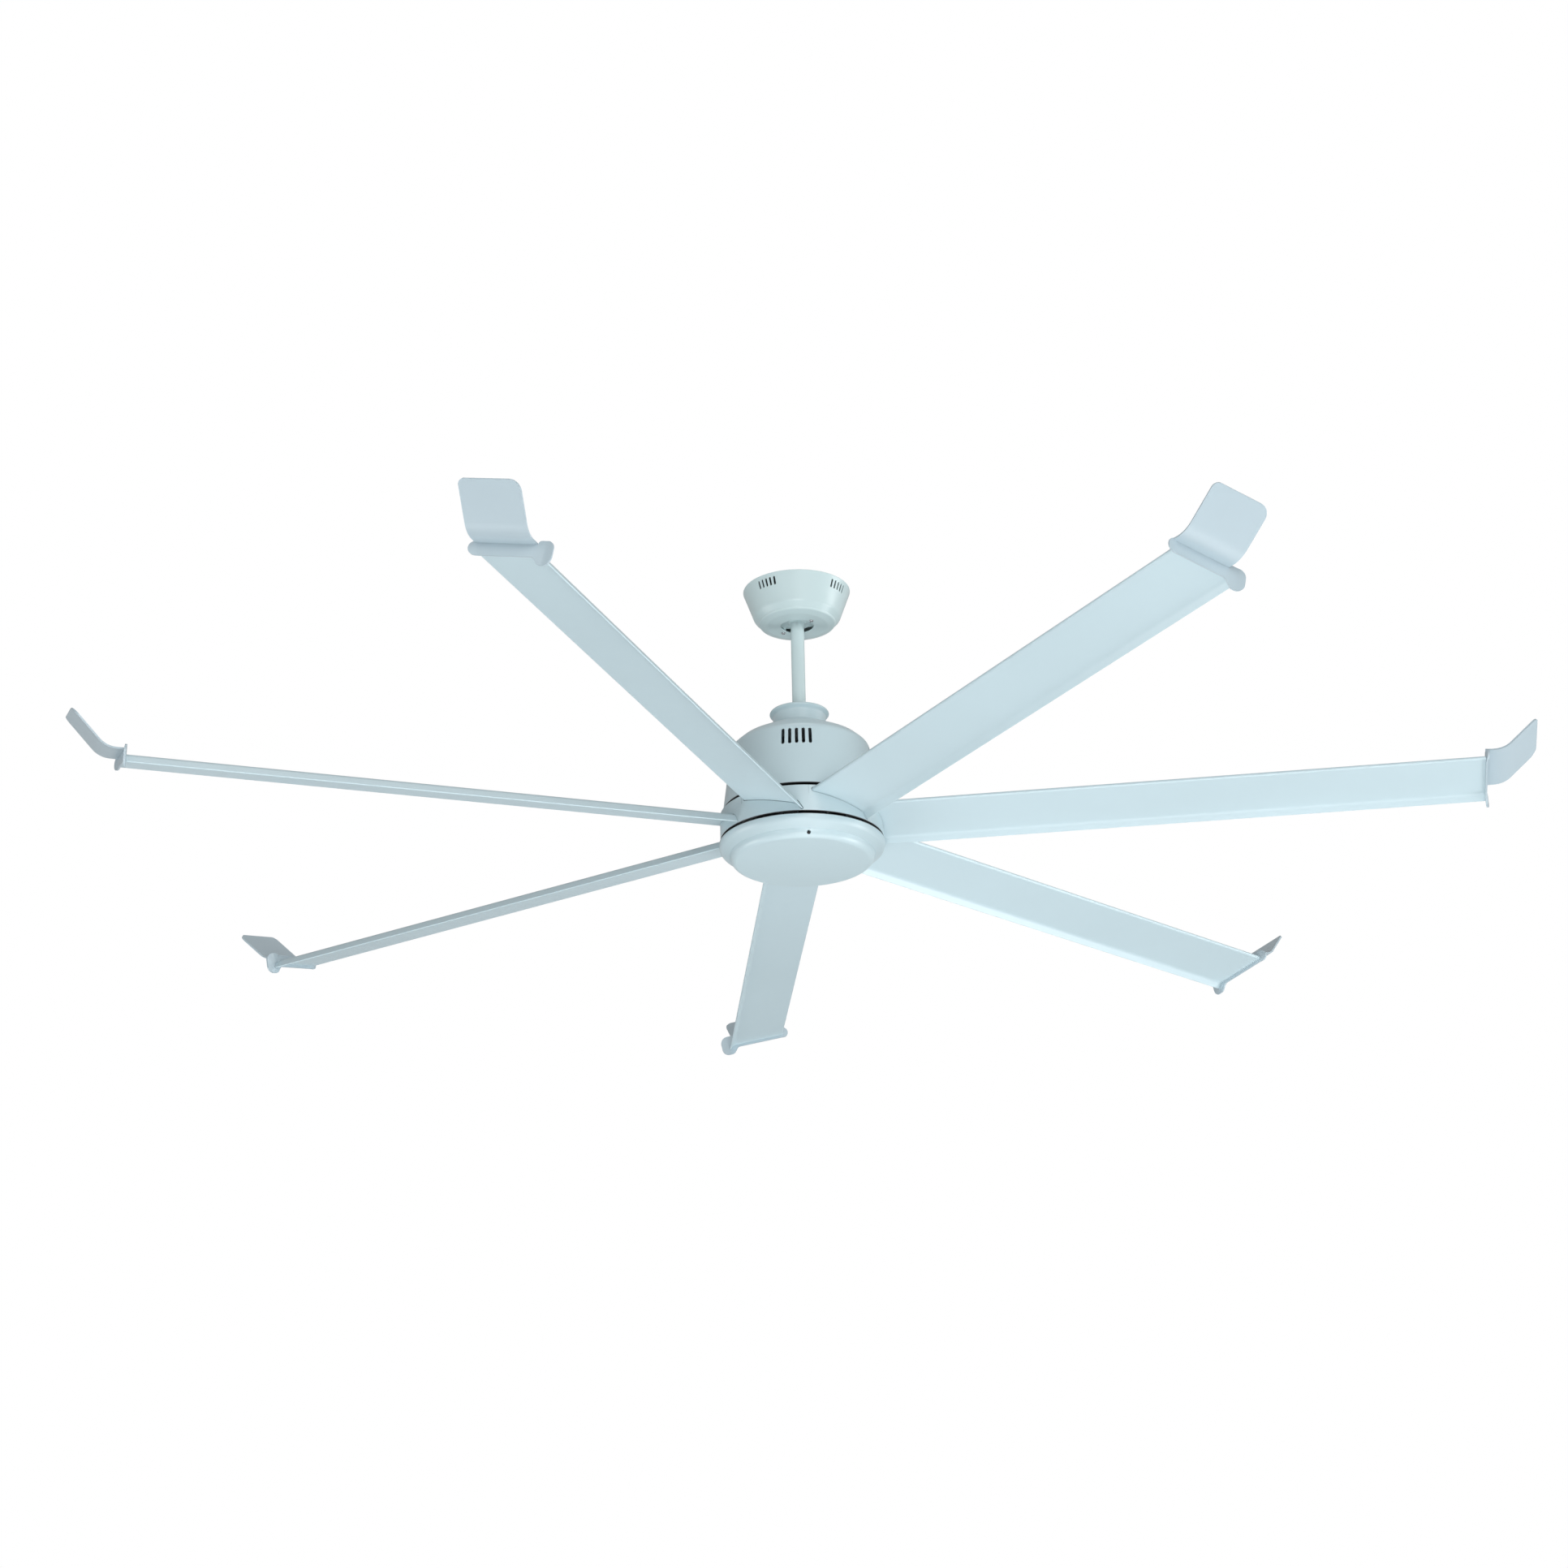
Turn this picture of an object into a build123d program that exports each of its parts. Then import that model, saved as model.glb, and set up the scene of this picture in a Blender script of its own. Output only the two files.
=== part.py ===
from build123d import *
import math
import os

# Outdoor ceiling fan with seven blades. Millimetres, +Z up.
# The origin is on the fan's axis, on the ceiling plane, and everything hangs below it.

# Blades and their tips
BLADE_COUNT = 7
FIRST_BLADE_ANGLE = -59.5
BLADE_PITCH = 13.0
BLADE_CHORD = 112.0
BLADE_THICKNESS = 6.4
BLADE_WALL = 1.2
NOSE_ROUND = 3.1
LIP_WIDTH = 13.0
LIP_LENGTH = 13.0
LIP_ANGLE = 42.0
LIP_BEND = 9.0
LIP_EDGE = 2.4
END_PLATE_RADIUS = 1133.0
END_PLATE_THICKNESS = 3.0
END_PLATE_OVERHANG = 11.5
END_PLATE_TOP = 13.5
END_PLATE_BOTTOM = -8.0
LOBE_DROP = 12.5
LOBE_RISE = 3.0
LOBE_WIDTH = 27.0
LOBE_ROUND = 13.0
END_CURL_ANGLE = 14.0
END_CURL_REACH = 14.0
END_CURL_RADIUS = 30.0
WINGLET_THICKNESS = 3.0
WINGLET_WIDTH = 98.0
WINGLET_LEAD = 3.0
WINGLET_FLAT = 12.0
WINGLET_BEND = 40.0
WINGLET_ANGLE = 45.0
WINGLET_LENGTH = 66.0
LEADING_CORNER = 11.0
TRAILING_CORNER = 18.0
ROOT_FLARE = 6.0
PLUG_LENGTH = 28.0
PLUG_FIT = 0.2

# Distances down from the ceiling
DROP = 436.8
CANOPY_HEIGHT = 66.5
CEILING_GAP = 1.5
BALL_DEPTH = 41.0

# Rotating ring and the covers above and below it
SLOT_CLEARANCE = 0.8
RING_EDGE = 3.4
RING_FOOT = 2.2
RING_POST_ANGLE = 3.2
RING_WALL = 2.5
SEAM_WIDTH = 0.9
SEAM_DEPTH = 1.2
SEAM_HEIGHT = 15.0
UPPER_GAP = 6.0
LOWER_GAP = 4.2
DOME_INSET = 5.0
DOME_HEIGHT = 155.0
DOME_WALL = 2.5
DOME_FLARE = 14.4
NECK_RADIUS = 45.0
NECK_HEIGHT = 27.0
LIP_FLARE = 6.0
COVER_OVERHANG = 2.0
COVER_HEIGHT = 20.5
COVER_WALL = 2.5
CAP_INSET = 18.0
CAP_HEIGHT = 13.5
CAP_CROWN = 5.5
CAP_WALL = 2.2
CAP_TAPER = 2.0
CAP_SCREW_INSET = 4.6
CAP_SCREW_HOLE = 3.4

# Vent slots
DOME_VENTS = 5
DOME_VENT_WIDTH = 5.5
DOME_VENT_HEIGHT = 29.0
DOME_VENT_PITCH = 11.4
DOME_VENT_DEPTH = 65.5
DOME_VENT_ANGLE = -93.0
CANOPY_VENTS = 5
CANOPY_VENT_WIDTH = 3.8
CANOPY_VENT_HEIGHT = 14.0
CANOPY_VENT_PITCH = 8.0
CANOPY_VENT_DEPTH = 15.0
CANOPY_VENT_ANGLE = -126.0
VENT_GROUPS = 4

# Canopy
CANOPY_RADIUS = 92.3
CANOPY_SHOULDER_RADIUS = 74.5
CANOPY_SHOULDER_RISE = 15.5
CANOPY_CREASE_RADIUS = 66.0
CANOPY_CREASE_RISE = 7.0
CANOPY_FLAT_RADIUS = 52.0
CANOPY_HOLE_RADIUS = 28.0
CANOPY_WALL = 1.8
CANOPY_SCREW_RADIUS = 34.0
CANOPY_SCREW_ANGLES = (135.0, -45.0)
CANOPY_SCREW_SHANK = 2.0
POST_RADIUS = 4.5

# Ceiling bracket and hanger ball
PLATE_RADIUS = 86.0
EARTH_OFFSET = 50.0
BRACKET_THICKNESS = 3.0
BRACKET_WIDTH = 36.0
BRACKET_LEG_OFFSET = 36.0
CEILING_HOLE_SPACING = 88.9
CEILING_HOLE_RADIUS = 3.0
WIRE_HOLE_RADIUS = 14.0
BALL_RADIUS = 24.0
BALL_CLEARANCE = 0.3
SEAT_WALL = 2.6
SEAT_HEIGHT = 8.0
TAB_WIDTH = 4.0
TAB_REACH = 3.0
TAB_CLEARANCE = 0.5

# Downrod and the yoke that joins it to the motor shaft
ROD_RADIUS = 11.5
ROD_WALL = 2.2
SLIP = 0.1
YOKE_WALL = 5.5
YOKE_FLANGE_RADIUS = 38.0
YOKE_FLANGE_THICKNESS = 4.6
YOKE_SOCKET = 33.0
YOKE_SHAFT_GRIP = 18.0
PIN_RADIUS = 3.0
PIN_DEPTH = 7.5
SET_SCREW_RADIUS = 2.5
SET_SCREW_RISE = 8.0

# Motor
SHAFT_RADIUS = 8.5
SHAFT_BORE = 4.0
SPACER_WALL = 2.2
LEAD_RADIUS = 2.8
LEAD_OFFSET = 6.0
BEARING_RADIUS = 20.0
BEARING_WIDTH = 12.0
BEARING_BALLS = 8
BALL_GAP = 0.12
RACE_WALL = 3.3
ROTOR_CLEARANCE = 20.0
ROTOR_WALL = 5.0
ROTOR_FLANGE = 12.0
MAGNET_COUNT = 20
MAGNET_THICKNESS = 6.0
AIR_GAP = 1.5
STATOR_HEIGHT = 40.0
STATOR_TEETH = 18
TOOTH_WIDTH = 8.0
COIL_SIDE = 3.6
COIL_END = 6.0

# Blade carrier
CARRIER_THICKNESS = 2.4
RING_FLANGE = 17.0
RING_FLANGE_THICKNESS = 1.8
PAD_INNER_RADIUS = 76.0
TONGUE_WIDTH = 54.0
CLAMP_THICKNESS = 3.0

# Lower plate, electronics and screws
LOWER_PLATE_THICKNESS = 3.0
LOWER_PLATE_RADIUS = 114.0
LOWER_BOSS = 6.0
BOARD_RADIUS = 88.0
BOARD_THICKNESS = 1.6
COVER_SCREWS = 4
CAP_SCREWS = 3
CAP_SCREW_ANGLE = -85.0
HOUSING_SCREWS = 3

# Places worked out from the sizes above
BLADE_STEP = 360.0 / BLADE_COUNT
HALF_CHORD = BLADE_CHORD / 2
HALF_THICK = BLADE_THICKNESS / 2
LIP_TIP_Y = HALF_CHORD - LIP_WIDTH + LIP_LENGTH * math.cos(math.radians(LIP_ANGLE))
LIP_TIP_Z = -HALF_THICK - LIP_LENGTH * math.sin(math.radians(LIP_ANGLE))
PITCH_SINE = math.sin(math.radians(BLADE_PITCH))
PITCH_COSINE = math.cos(math.radians(BLADE_PITCH))
BLADE_RISE = HALF_CHORD * PITCH_SINE + HALF_THICK * PITCH_COSINE
BLADE_FALL = LIP_TIP_Y * PITCH_SINE - LIP_TIP_Z * PITCH_COSINE
RING_RADIUS = HALF_CHORD / math.sin(math.radians((BLADE_STEP - RING_POST_ANGLE) / 2))
RING_INNER = RING_RADIUS - RING_WALL

BLADE_Z = -DROP
RING_TOP = BLADE_Z + BLADE_RISE + SLOT_CLEARANCE + RING_EDGE
RING_BOTTOM = BLADE_Z - BLADE_FALL - SLOT_CLEARANCE - RING_FOOT
DOME_RADIUS = RING_RADIUS - DOME_INSET
DOME_BOTTOM = RING_TOP + UPPER_GAP
DOME_TOP = DOME_BOTTOM + DOME_HEIGHT
DOME_SHOULDER = DOME_RADIUS - DOME_FLARE
DOME_SHOULDER_Z = DOME_TOP - 37.0
NECK_TOP = DOME_TOP + NECK_HEIGHT
COVER_RADIUS = RING_RADIUS + COVER_OVERHANG
COVER_TOP = RING_BOTTOM - LOWER_GAP
COVER_BOTTOM = COVER_TOP - COVER_HEIGHT
CAP_RADIUS = COVER_RADIUS - CAP_INSET
CAP_EDGE_Z = COVER_BOTTOM - CAP_HEIGHT

YOKE_TOP = NECK_TOP - 4.0
ROD_BOTTOM = YOKE_TOP - YOKE_SOCKET
ROD_TOP = -BALL_DEPTH + BALL_RADIUS + 1.0
YOKE_PIN_Z = YOKE_TOP - PIN_DEPTH
YOKE_RADIUS = ROD_RADIUS + YOKE_WALL
YOKE_WEB = 2.0
SHAFT_TOP = ROD_BOTTOM - YOKE_WEB
YOKE_BOTTOM = SHAFT_TOP - YOKE_SHAFT_GRIP

CARRIER_TOP = RING_TOP - RING_FLANGE_THICKNESS
CARRIER_BOTTOM = CARRIER_TOP - CARRIER_THICKNESS
ROTOR_RADIUS = DOME_SHOULDER - ROTOR_CLEARANCE
ROTOR_TOP = YOKE_BOTTOM - 24.0
UPPER_BEARING_TOP = ROTOR_TOP - 1.5
LOWER_BEARING_TOP = CARRIER_TOP + BEARING_WIDTH - 1.0
STATOR_TOP = (ROTOR_TOP + CARRIER_TOP + STATOR_HEIGHT) / 2 - 6.0
STATOR_BOTTOM = STATOR_TOP - STATOR_HEIGHT
MAGNET_OUTER = ROTOR_RADIUS - ROTOR_WALL
MAGNET_INNER = MAGNET_OUTER - MAGNET_THICKNESS
STATOR_RADIUS = MAGNET_INNER - AIR_GAP

LOWER_PLATE_TOP = COVER_TOP - 3.0
LOWER_PLATE_BOTTOM = LOWER_PLATE_TOP - LOWER_PLATE_THICKNESS
COVER_FLANGE_TOP = COVER_BOTTOM + COVER_WALL
NUT_BOTTOM = LOWER_PLATE_BOTTOM - 10.0
BOARD_TOP = NUT_BOTTOM - 4.0
COLLAR_RADIUS = CAP_RADIUS - 7.6
COLLAR_WALL = 2.5
CAP_ROUND = 11.0
COVER_SCREW_RADIUS = COLLAR_RADIUS - COLLAR_WALL - 7.0


def outline(corners):
    """A closed face through corners (x, y, radius), each rounded by its radius."""
    rounded = []
    for index, (x, y, radius) in enumerate(corners):
        here = Vector(x, y)
        before = Vector(*corners[index - 1][:2]) - here
        after = Vector(*corners[(index + 1) % len(corners)][:2]) - here
        before = before.normalized()
        after = after.normalized()
        if radius == 0:
            rounded.append((here, here, here))
            continue
        half = math.radians(before.get_angle(after)) / 2
        reach = radius / math.tan(half)
        centre = here + (before + after).normalized() * (radius / math.sin(half))
        middle = centre + (here - centre).normalized() * radius
        rounded.append((here + before * reach, middle, here + after * reach))
    edges = []
    for index, (start, middle, end) in enumerate(rounded):
        if (start - end).length > 0:
            edges.append(Edge.make_three_point_arc(start, middle, end))
        following = rounded[(index + 1) % len(rounded)][0]
        if (following - end).length > 1e-4:
            edges.append(Edge.make_line(end, following))
    face = Face(Wire(edges))
    return face if face.normal_at().Z > 0 else -face


def turned(corners):
    """A ring or disc: a closed outline of (radius, height, rounding) turned about the axis."""
    return Part() + revolve(Plane.XZ * outline(corners), Axis.Z)


def tube(outer, inner, top, bottom):
    """A plain ring between two heights."""
    return turned([(inner, bottom, 0), (outer, bottom, 0), (outer, top, 0), (inner, top, 0)])


def rod(radius, top, bottom):
    """An upright cylinder between two heights."""
    return Pos(0, 0, (top + bottom) / 2) * Cylinder(radius, abs(top - bottom))


def block(x0, x1, y0, y1, z0, z1):
    """A box between two corners."""
    centre = Pos((x0 + x1) / 2, (y0 + y1) / 2, (z0 + z1) / 2)
    return centre * Box(x1 - x0, y1 - y0, z1 - z0)


def prism_x(face, x0, x1):
    """A face drawn in (y, z), swept from x0 to x1."""
    return Part() + extrude(Plane.YZ.offset(x0) * face, amount=x1 - x0)


def prism_y(face, y0, y1):
    """A face drawn in (x, z), swept from y0 to y1."""
    return Part() + extrude(Plane.XZ.offset(-y1) * face, amount=y1 - y0)


def prism_z(face, z0, z1):
    """A face drawn in (x, y), swept from z0 to z1."""
    return Part() + extrude(Plane.XY.offset(z0) * face, amount=z1 - z0)


def screw(shank_radius, length, head_radius, head_height):
    """A pan-head screw: its head hangs below the origin and its shank points up."""
    head = turned([
        (0, 0, 0),
        (0, -head_height, 0),
        (head_radius, -head_height, head_height * 0.6),
        (head_radius, 0, 0),
    ])
    shank = rod(shank_radius, length, 0)
    drive = block(-head_radius * 0.6, head_radius * 0.6, -0.4, 0.4, -head_height, -head_height * 0.5)
    cross = Rot(0, 0, 90) * drive
    return head + shank - drive - cross


def flat_screw(shank_radius, length, head_radius):
    """A countersunk screw: its flat face is at the origin and its shank points up."""
    cone = head_radius - shank_radius
    body = turned([
        (0, 0, 0),
        (head_radius, 0, 0),
        (shank_radius, cone, 0),
        (shank_radius, length, 0),
        (0, length, 0),
    ])
    drive = block(-head_radius * 0.6, head_radius * 0.6, -0.4, 0.4, 0, cone * 0.5)
    return body - drive - Rot(0, 0, 90) * drive


def around(count, start=0.0):
    """Evenly spaced turns about the fan's axis."""
    return [Rot(0, 0, start + index * 360.0 / count) for index in range(count)]


def blade_place(index):
    """From a blade's own frame (x outwards, y to the trailing edge) to the fan's."""
    angle = FIRST_BLADE_ANGLE + index * BLADE_STEP
    return Pos(0, 0, BLADE_Z) * Rot(0, 0, angle) * Rot(-BLADE_PITCH, 0, 0)


def outward(angle, radius, height):
    """A screw's place on an upright wall: its head faces out from the axis."""
    return Rot(0, 0, angle) * Pos(radius, 0, height) * Rot(0, -90, 0)


def save(name, *pieces):
    """Write one node's solids to its own file."""
    solids = []
    for piece in pieces:
        solids.extend(piece.solids())
    shape = solids[0] if len(solids) == 1 else Compound(solids)
    export_step(shape, f"parts/{name}.step")


# Blades


def blade_section():
    """The blade's outline across its chord: a flat body with a trailing lip bent down."""
    lip_start = HALF_CHORD - LIP_WIDTH
    edge_y = LIP_TIP_Y + LIP_EDGE * math.sin(math.radians(LIP_ANGLE))
    edge_z = LIP_TIP_Z + LIP_EDGE * math.cos(math.radians(LIP_ANGLE))
    return outline([
        (-HALF_CHORD, -HALF_THICK, NOSE_ROUND),
        (lip_start, -HALF_THICK, LIP_BEND),
        (LIP_TIP_Y, LIP_TIP_Z, 0.8),
        (edge_y, edge_z, 0.8),
        (lip_start - 1.0, HALF_THICK, LIP_BEND + BLADE_THICKNESS),
        (-HALF_CHORD, HALF_THICK, NOSE_ROUND),
    ])


def blade_cells(shrink=0.0):
    """The two hollow cells inside the blade, each as (y0, y1, half height)."""
    high = HALF_THICK - BLADE_WALL - shrink
    front = -HALF_CHORD + NOSE_ROUND + shrink
    back = HALF_CHORD - LIP_WIDTH - 11.0 - shrink
    web = front + (back - front) * 0.55
    return [(front, web - BLADE_WALL / 2 - shrink, high), (web + BLADE_WALL / 2 + shrink, back, high)]


TONGUE_INNER = PAD_INNER_RADIUS
CHORD_START = RING_INNER - 10.0
TIP_SCREW_X = END_PLATE_RADIUS - END_PLATE_THICKNESS - 10.0
CLAMP_SCREWS = [
    (TONGUE_INNER + 11.0, 0.0),
    (TONGUE_INNER + 31.0, -TONGUE_WIDTH * 0.26),
    (TONGUE_INNER + 31.0, TONGUE_WIDTH * 0.26),
]
CLAMP_SCREW_RADIUS = 2.5
TIP_SCREW_RADIUS = 1.5
TIP_SCREW_HEAD = 2.8


def tip_screw_spots():
    """Chordwise places of the two screws that hold a tip."""
    return [(cell[0] + cell[1]) / 2 for cell in blade_cells()]


def make_blade():
    end = END_PLATE_RADIUS - END_PLATE_THICKNESS
    body = prism_x(blade_section(), CHORD_START, end)
    tongue = block(TONGUE_INNER, CHORD_START + 5, -TONGUE_WIDTH / 2, TONGUE_WIDTH / 2, -HALF_THICK, HALF_THICK)
    tongue = fillet(tongue.edges().filter_by(Axis.Z).group_by(Axis.X)[0], 8)
    blade = body + tongue
    for y0, y1, high in blade_cells():
        blade -= block(RING_RADIUS + 6, end + 1, y0, y1, -high, high)
    for x, y in CLAMP_SCREWS:
        blade -= Pos(x, y, 0) * Cylinder(CLAMP_SCREW_RADIUS, BLADE_THICKNESS * 2)
    for y in tip_screw_spots():
        blade -= Pos(TIP_SCREW_X, y, HALF_THICK) * Rot(180, 0, 0) * flat_hole(TIP_SCREW_RADIUS, TIP_SCREW_HEAD)
    return blade


def flat_hole(shank_radius, head_radius):
    """The countersunk hole that a flat screw fills."""
    cone = head_radius - shank_radius
    return turned([
        (0, -0.01, 0),
        (head_radius, -0.01, 0),
        (head_radius, 0, 0),
        (shank_radius, cone, 0),
        (shank_radius, cone + BLADE_WALL, 0),
        (0, cone + BLADE_WALL, 0),
    ])


def end_plate():
    """The plate across the blade's end: a round nose, a drooping lobe and both ends curled out."""
    reach = HALF_CHORD + END_PLATE_OVERHANG
    lobe_bottom = END_PLATE_BOTTOM - LOBE_DROP
    lobe_top = END_PLATE_TOP + LOBE_RISE
    shape = outline([
        (-reach, END_PLATE_BOTTOM, 10.2),
        (reach - LOBE_WIDTH - 5.0, END_PLATE_BOTTOM, 9.0),
        (reach - LOBE_WIDTH + 5.5, lobe_bottom, 9.5),
        (reach, lobe_bottom, LOBE_ROUND),
        (reach, lobe_top, LOBE_ROUND),
        (reach - LOBE_WIDTH, lobe_top, 5.5),
        (reach - LOBE_WIDTH, END_PLATE_TOP - WINGLET_THICKNESS, 0),
        (-reach, END_PLATE_TOP - WINGLET_THICKNESS * 0.2, 10.2),
    ])
    bend = reach - END_CURL_REACH
    out = (END_CURL_REACH + 6.0) * math.tan(math.radians(END_CURL_ANGLE))
    inner = END_PLATE_RADIUS - END_PLATE_THICKNESS
    outer = END_PLATE_RADIUS
    band = outline([
        (inner + out, -reach - 6.0, 0),
        (inner, -bend, END_CURL_RADIUS),
        (inner, bend, END_CURL_RADIUS),
        (inner + out, reach + 6.0, 0),
        (outer + out, reach + 6.0, 0),
        (outer, bend, END_CURL_RADIUS - END_PLATE_THICKNESS),
        (outer, -bend, END_CURL_RADIUS - END_PLATE_THICKNESS),
        (outer + out, -reach - 6.0, 0),
    ])
    across = prism_x(shape, inner - 1, outer + out + 5)
    return across & prism_z(band, lobe_bottom - 5, END_PLATE_TOP + 8)


def winglet():
    """The upturned sheet that leaves the end plate's top edge and curves up."""
    lean = math.radians(WINGLET_ANGLE)
    half = WINGLET_THICKNESS / 2
    mid_z = END_PLATE_TOP - half
    tangent = WINGLET_BEND * math.tan(lean / 2)
    bend_x = END_PLATE_RADIUS + WINGLET_FLAT + tangent
    run = tangent + WINGLET_LENGTH
    tip_x = bend_x + run * math.cos(lean)
    tip_z = mid_z + run * math.sin(lean)
    side_x = half * math.sin(lean)
    side_z = half * math.cos(lean)
    shift = half * math.tan(lean / 2)
    root = END_PLATE_RADIUS - END_PLATE_THICKNESS * 0.8
    profile = outline([
        (root, mid_z - half, 0),
        (bend_x + shift, mid_z - half, WINGLET_BEND + half),
        (tip_x + side_x, tip_z - side_z, half * 0.9),
        (tip_x - side_x, tip_z + side_z, half * 0.9),
        (bend_x - shift, mid_z + half, WINGLET_BEND - half),
        (root, mid_z + half, 0),
    ])
    front = -HALF_CHORD - WINGLET_LEAD
    sheet = prism_y(profile, front - ROOT_FLARE, front + WINGLET_WIDTH)
    leaning = Plane(
        origin=(bend_x, 0, mid_z),
        x_dir=(math.cos(lean), 0, math.sin(lean)),
        z_dir=(-math.sin(lean), 0, math.cos(lean)),
    )
    plan = outline([
        (-2 * WINGLET_BEND, front - ROOT_FLARE, 0),
        (-tangent - WINGLET_FLAT, front - ROOT_FLARE, 5),
        (-tangent - 2.0, front, 20),
        (run, front, LEADING_CORNER),
        (run, front + WINGLET_WIDTH, TRAILING_CORNER),
        (-2 * WINGLET_BEND, front + WINGLET_WIDTH, 0),
    ])
    trim = extrude(leaning * plan, amount=60, both=True)
    return sheet & trim


def make_tip():
    inner = END_PLATE_RADIUS - END_PLATE_THICKNESS
    tip = end_plate() + winglet()
    for y0, y1, high in blade_cells(PLUG_FIT):
        tip += block(inner - PLUG_LENGTH, inner + 0.5, y0, y1, -high, high)
    for y in tip_screw_spots():
        tip -= Pos(TIP_SCREW_X, y, 0) * Cylinder(TIP_SCREW_RADIUS, BLADE_THICKNESS * 2)
    return tip


def make_clamp():
    clamp = block(
        TONGUE_INNER + 3,
        CHORD_START - 7,
        -TONGUE_WIDTH / 2 + 3,
        TONGUE_WIDTH / 2 - 3,
        -HALF_THICK - CLAMP_THICKNESS,
        -HALF_THICK,
    )
    clamp = fillet(clamp.edges().filter_by(Axis.Z), 5)
    for x, y in CLAMP_SCREWS:
        clamp -= Pos(x, y, -HALF_THICK) * Cylinder(CLAMP_SCREW_RADIUS, 4 * CLAMP_THICKNESS)
    return clamp


def write_blades():
    blade = make_blade()
    tip = make_tip()
    clamp = make_clamp()
    clamp_screw = screw(CLAMP_SCREW_RADIUS, CLAMP_THICKNESS + BLADE_THICKNESS + 5, 4.5, 2.8)
    tip_screw = flat_screw(TIP_SCREW_RADIUS, BLADE_WALL + 3.0, TIP_SCREW_HEAD)
    clamps = []
    clamp_screws = []
    tip_screws = []
    for index in range(BLADE_COUNT):
        place = blade_place(index)
        save(f"blade_{index + 1}", place * blade)
        save(f"tip_winglet_{index + 1}", place * tip)
        clamps.append(place * clamp)
        for x, y in CLAMP_SCREWS:
            clamp_screws.append(place * Pos(x, y, -HALF_THICK - CLAMP_THICKNESS) * clamp_screw)
        for y in tip_screw_spots():
            tip_screws.append(place * Pos(TIP_SCREW_X, y, HALF_THICK) * Rot(180, 0, 0) * tip_screw)
    save("blade_clamps", *clamps)
    save("blade_screws", *clamp_screws)
    save("tip_screws", *tip_screws)


# Rotor: ring, carrier, shell, magnets and bearings

RING_SCREW_RADIUS = RING_INNER - RING_FLANGE / 2
ROTOR_SCREW_RADIUS = ROTOR_RADIUS + ROTOR_FLANGE / 2
CARRIER_HUB = BEARING_RADIUS + 6.0


def make_ring():
    ring = turned([
        (RING_INNER, RING_BOTTOM, 0),
        (RING_RADIUS, RING_BOTTOM, 0.8),
        (RING_RADIUS, RING_TOP, 0.8),
        (RING_INNER - RING_FLANGE, RING_TOP, 0),
        (RING_INNER - RING_FLANGE, CARRIER_TOP, 0),
        (RING_INNER, CARRIER_TOP, 0),
    ])
    slot_face = offset(blade_section(), amount=SLOT_CLEARANCE)
    slot = prism_x(slot_face.face(), CHORD_START - 20, RING_RADIUS + 10)
    seam = block(RING_RADIUS - SEAM_DEPTH, RING_RADIUS + 1, -SEAM_WIDTH / 2, SEAM_WIDTH / 2, RING_TOP - SEAM_HEIGHT, RING_TOP + 1)
    for index in range(BLADE_COUNT):
        ring -= blade_place(index) * slot
        ring -= Rot(0, 0, FIRST_BLADE_ANGLE + (index + 0.5) * BLADE_STEP) * seam
    for turn in around(BLADE_COUNT, FIRST_BLADE_ANGLE):
        ring -= turn * Pos(RING_SCREW_RADIUS, 0, 0) * rod(1.6, RING_TOP + 1, CARRIER_TOP - 1)
    return ring


def make_carrier():
    plate = tube(RING_INNER - 0.3, BEARING_RADIUS, CARRIER_TOP, CARRIER_BOTTOM)
    hub = tube(CARRIER_HUB, BEARING_RADIUS, LOWER_BEARING_TOP, CARRIER_BOTTOM - 4)
    ledge = tube(BEARING_RADIUS + 0.5, BEARING_RADIUS - 3, LOWER_BEARING_TOP - BEARING_WIDTH, CARRIER_BOTTOM - 4)
    carrier = plate + hub + ledge
    pad = block(TONGUE_INNER, CHORD_START - 4, -TONGUE_WIDTH / 2 + 1, TONGUE_WIDTH / 2 - 1, HALF_THICK, 40)
    under_plate = rod(RING_INNER, CARRIER_BOTTOM + 0.5, CARRIER_BOTTOM - 40)
    for index in range(BLADE_COUNT):
        place = blade_place(index)
        carrier += (place * pad) & under_plate
    for index in range(BLADE_COUNT):
        place = blade_place(index)
        for x, y in CLAMP_SCREWS:
            carrier -= place * Pos(x, y, 0) * Cylinder(CLAMP_SCREW_RADIUS, 2 * HALF_THICK + 10)
    for turn in around(BLADE_COUNT, FIRST_BLADE_ANGLE):
        carrier -= turn * Pos(RING_SCREW_RADIUS, 0, 0) * rod(1.6, CARRIER_TOP + 1, CARRIER_BOTTOM - 1)
        carrier -= turn * Pos(ROTOR_SCREW_RADIUS, 0, 0) * rod(2.0, CARRIER_TOP + 1, CARRIER_TOP - 2)
    return carrier


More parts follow.
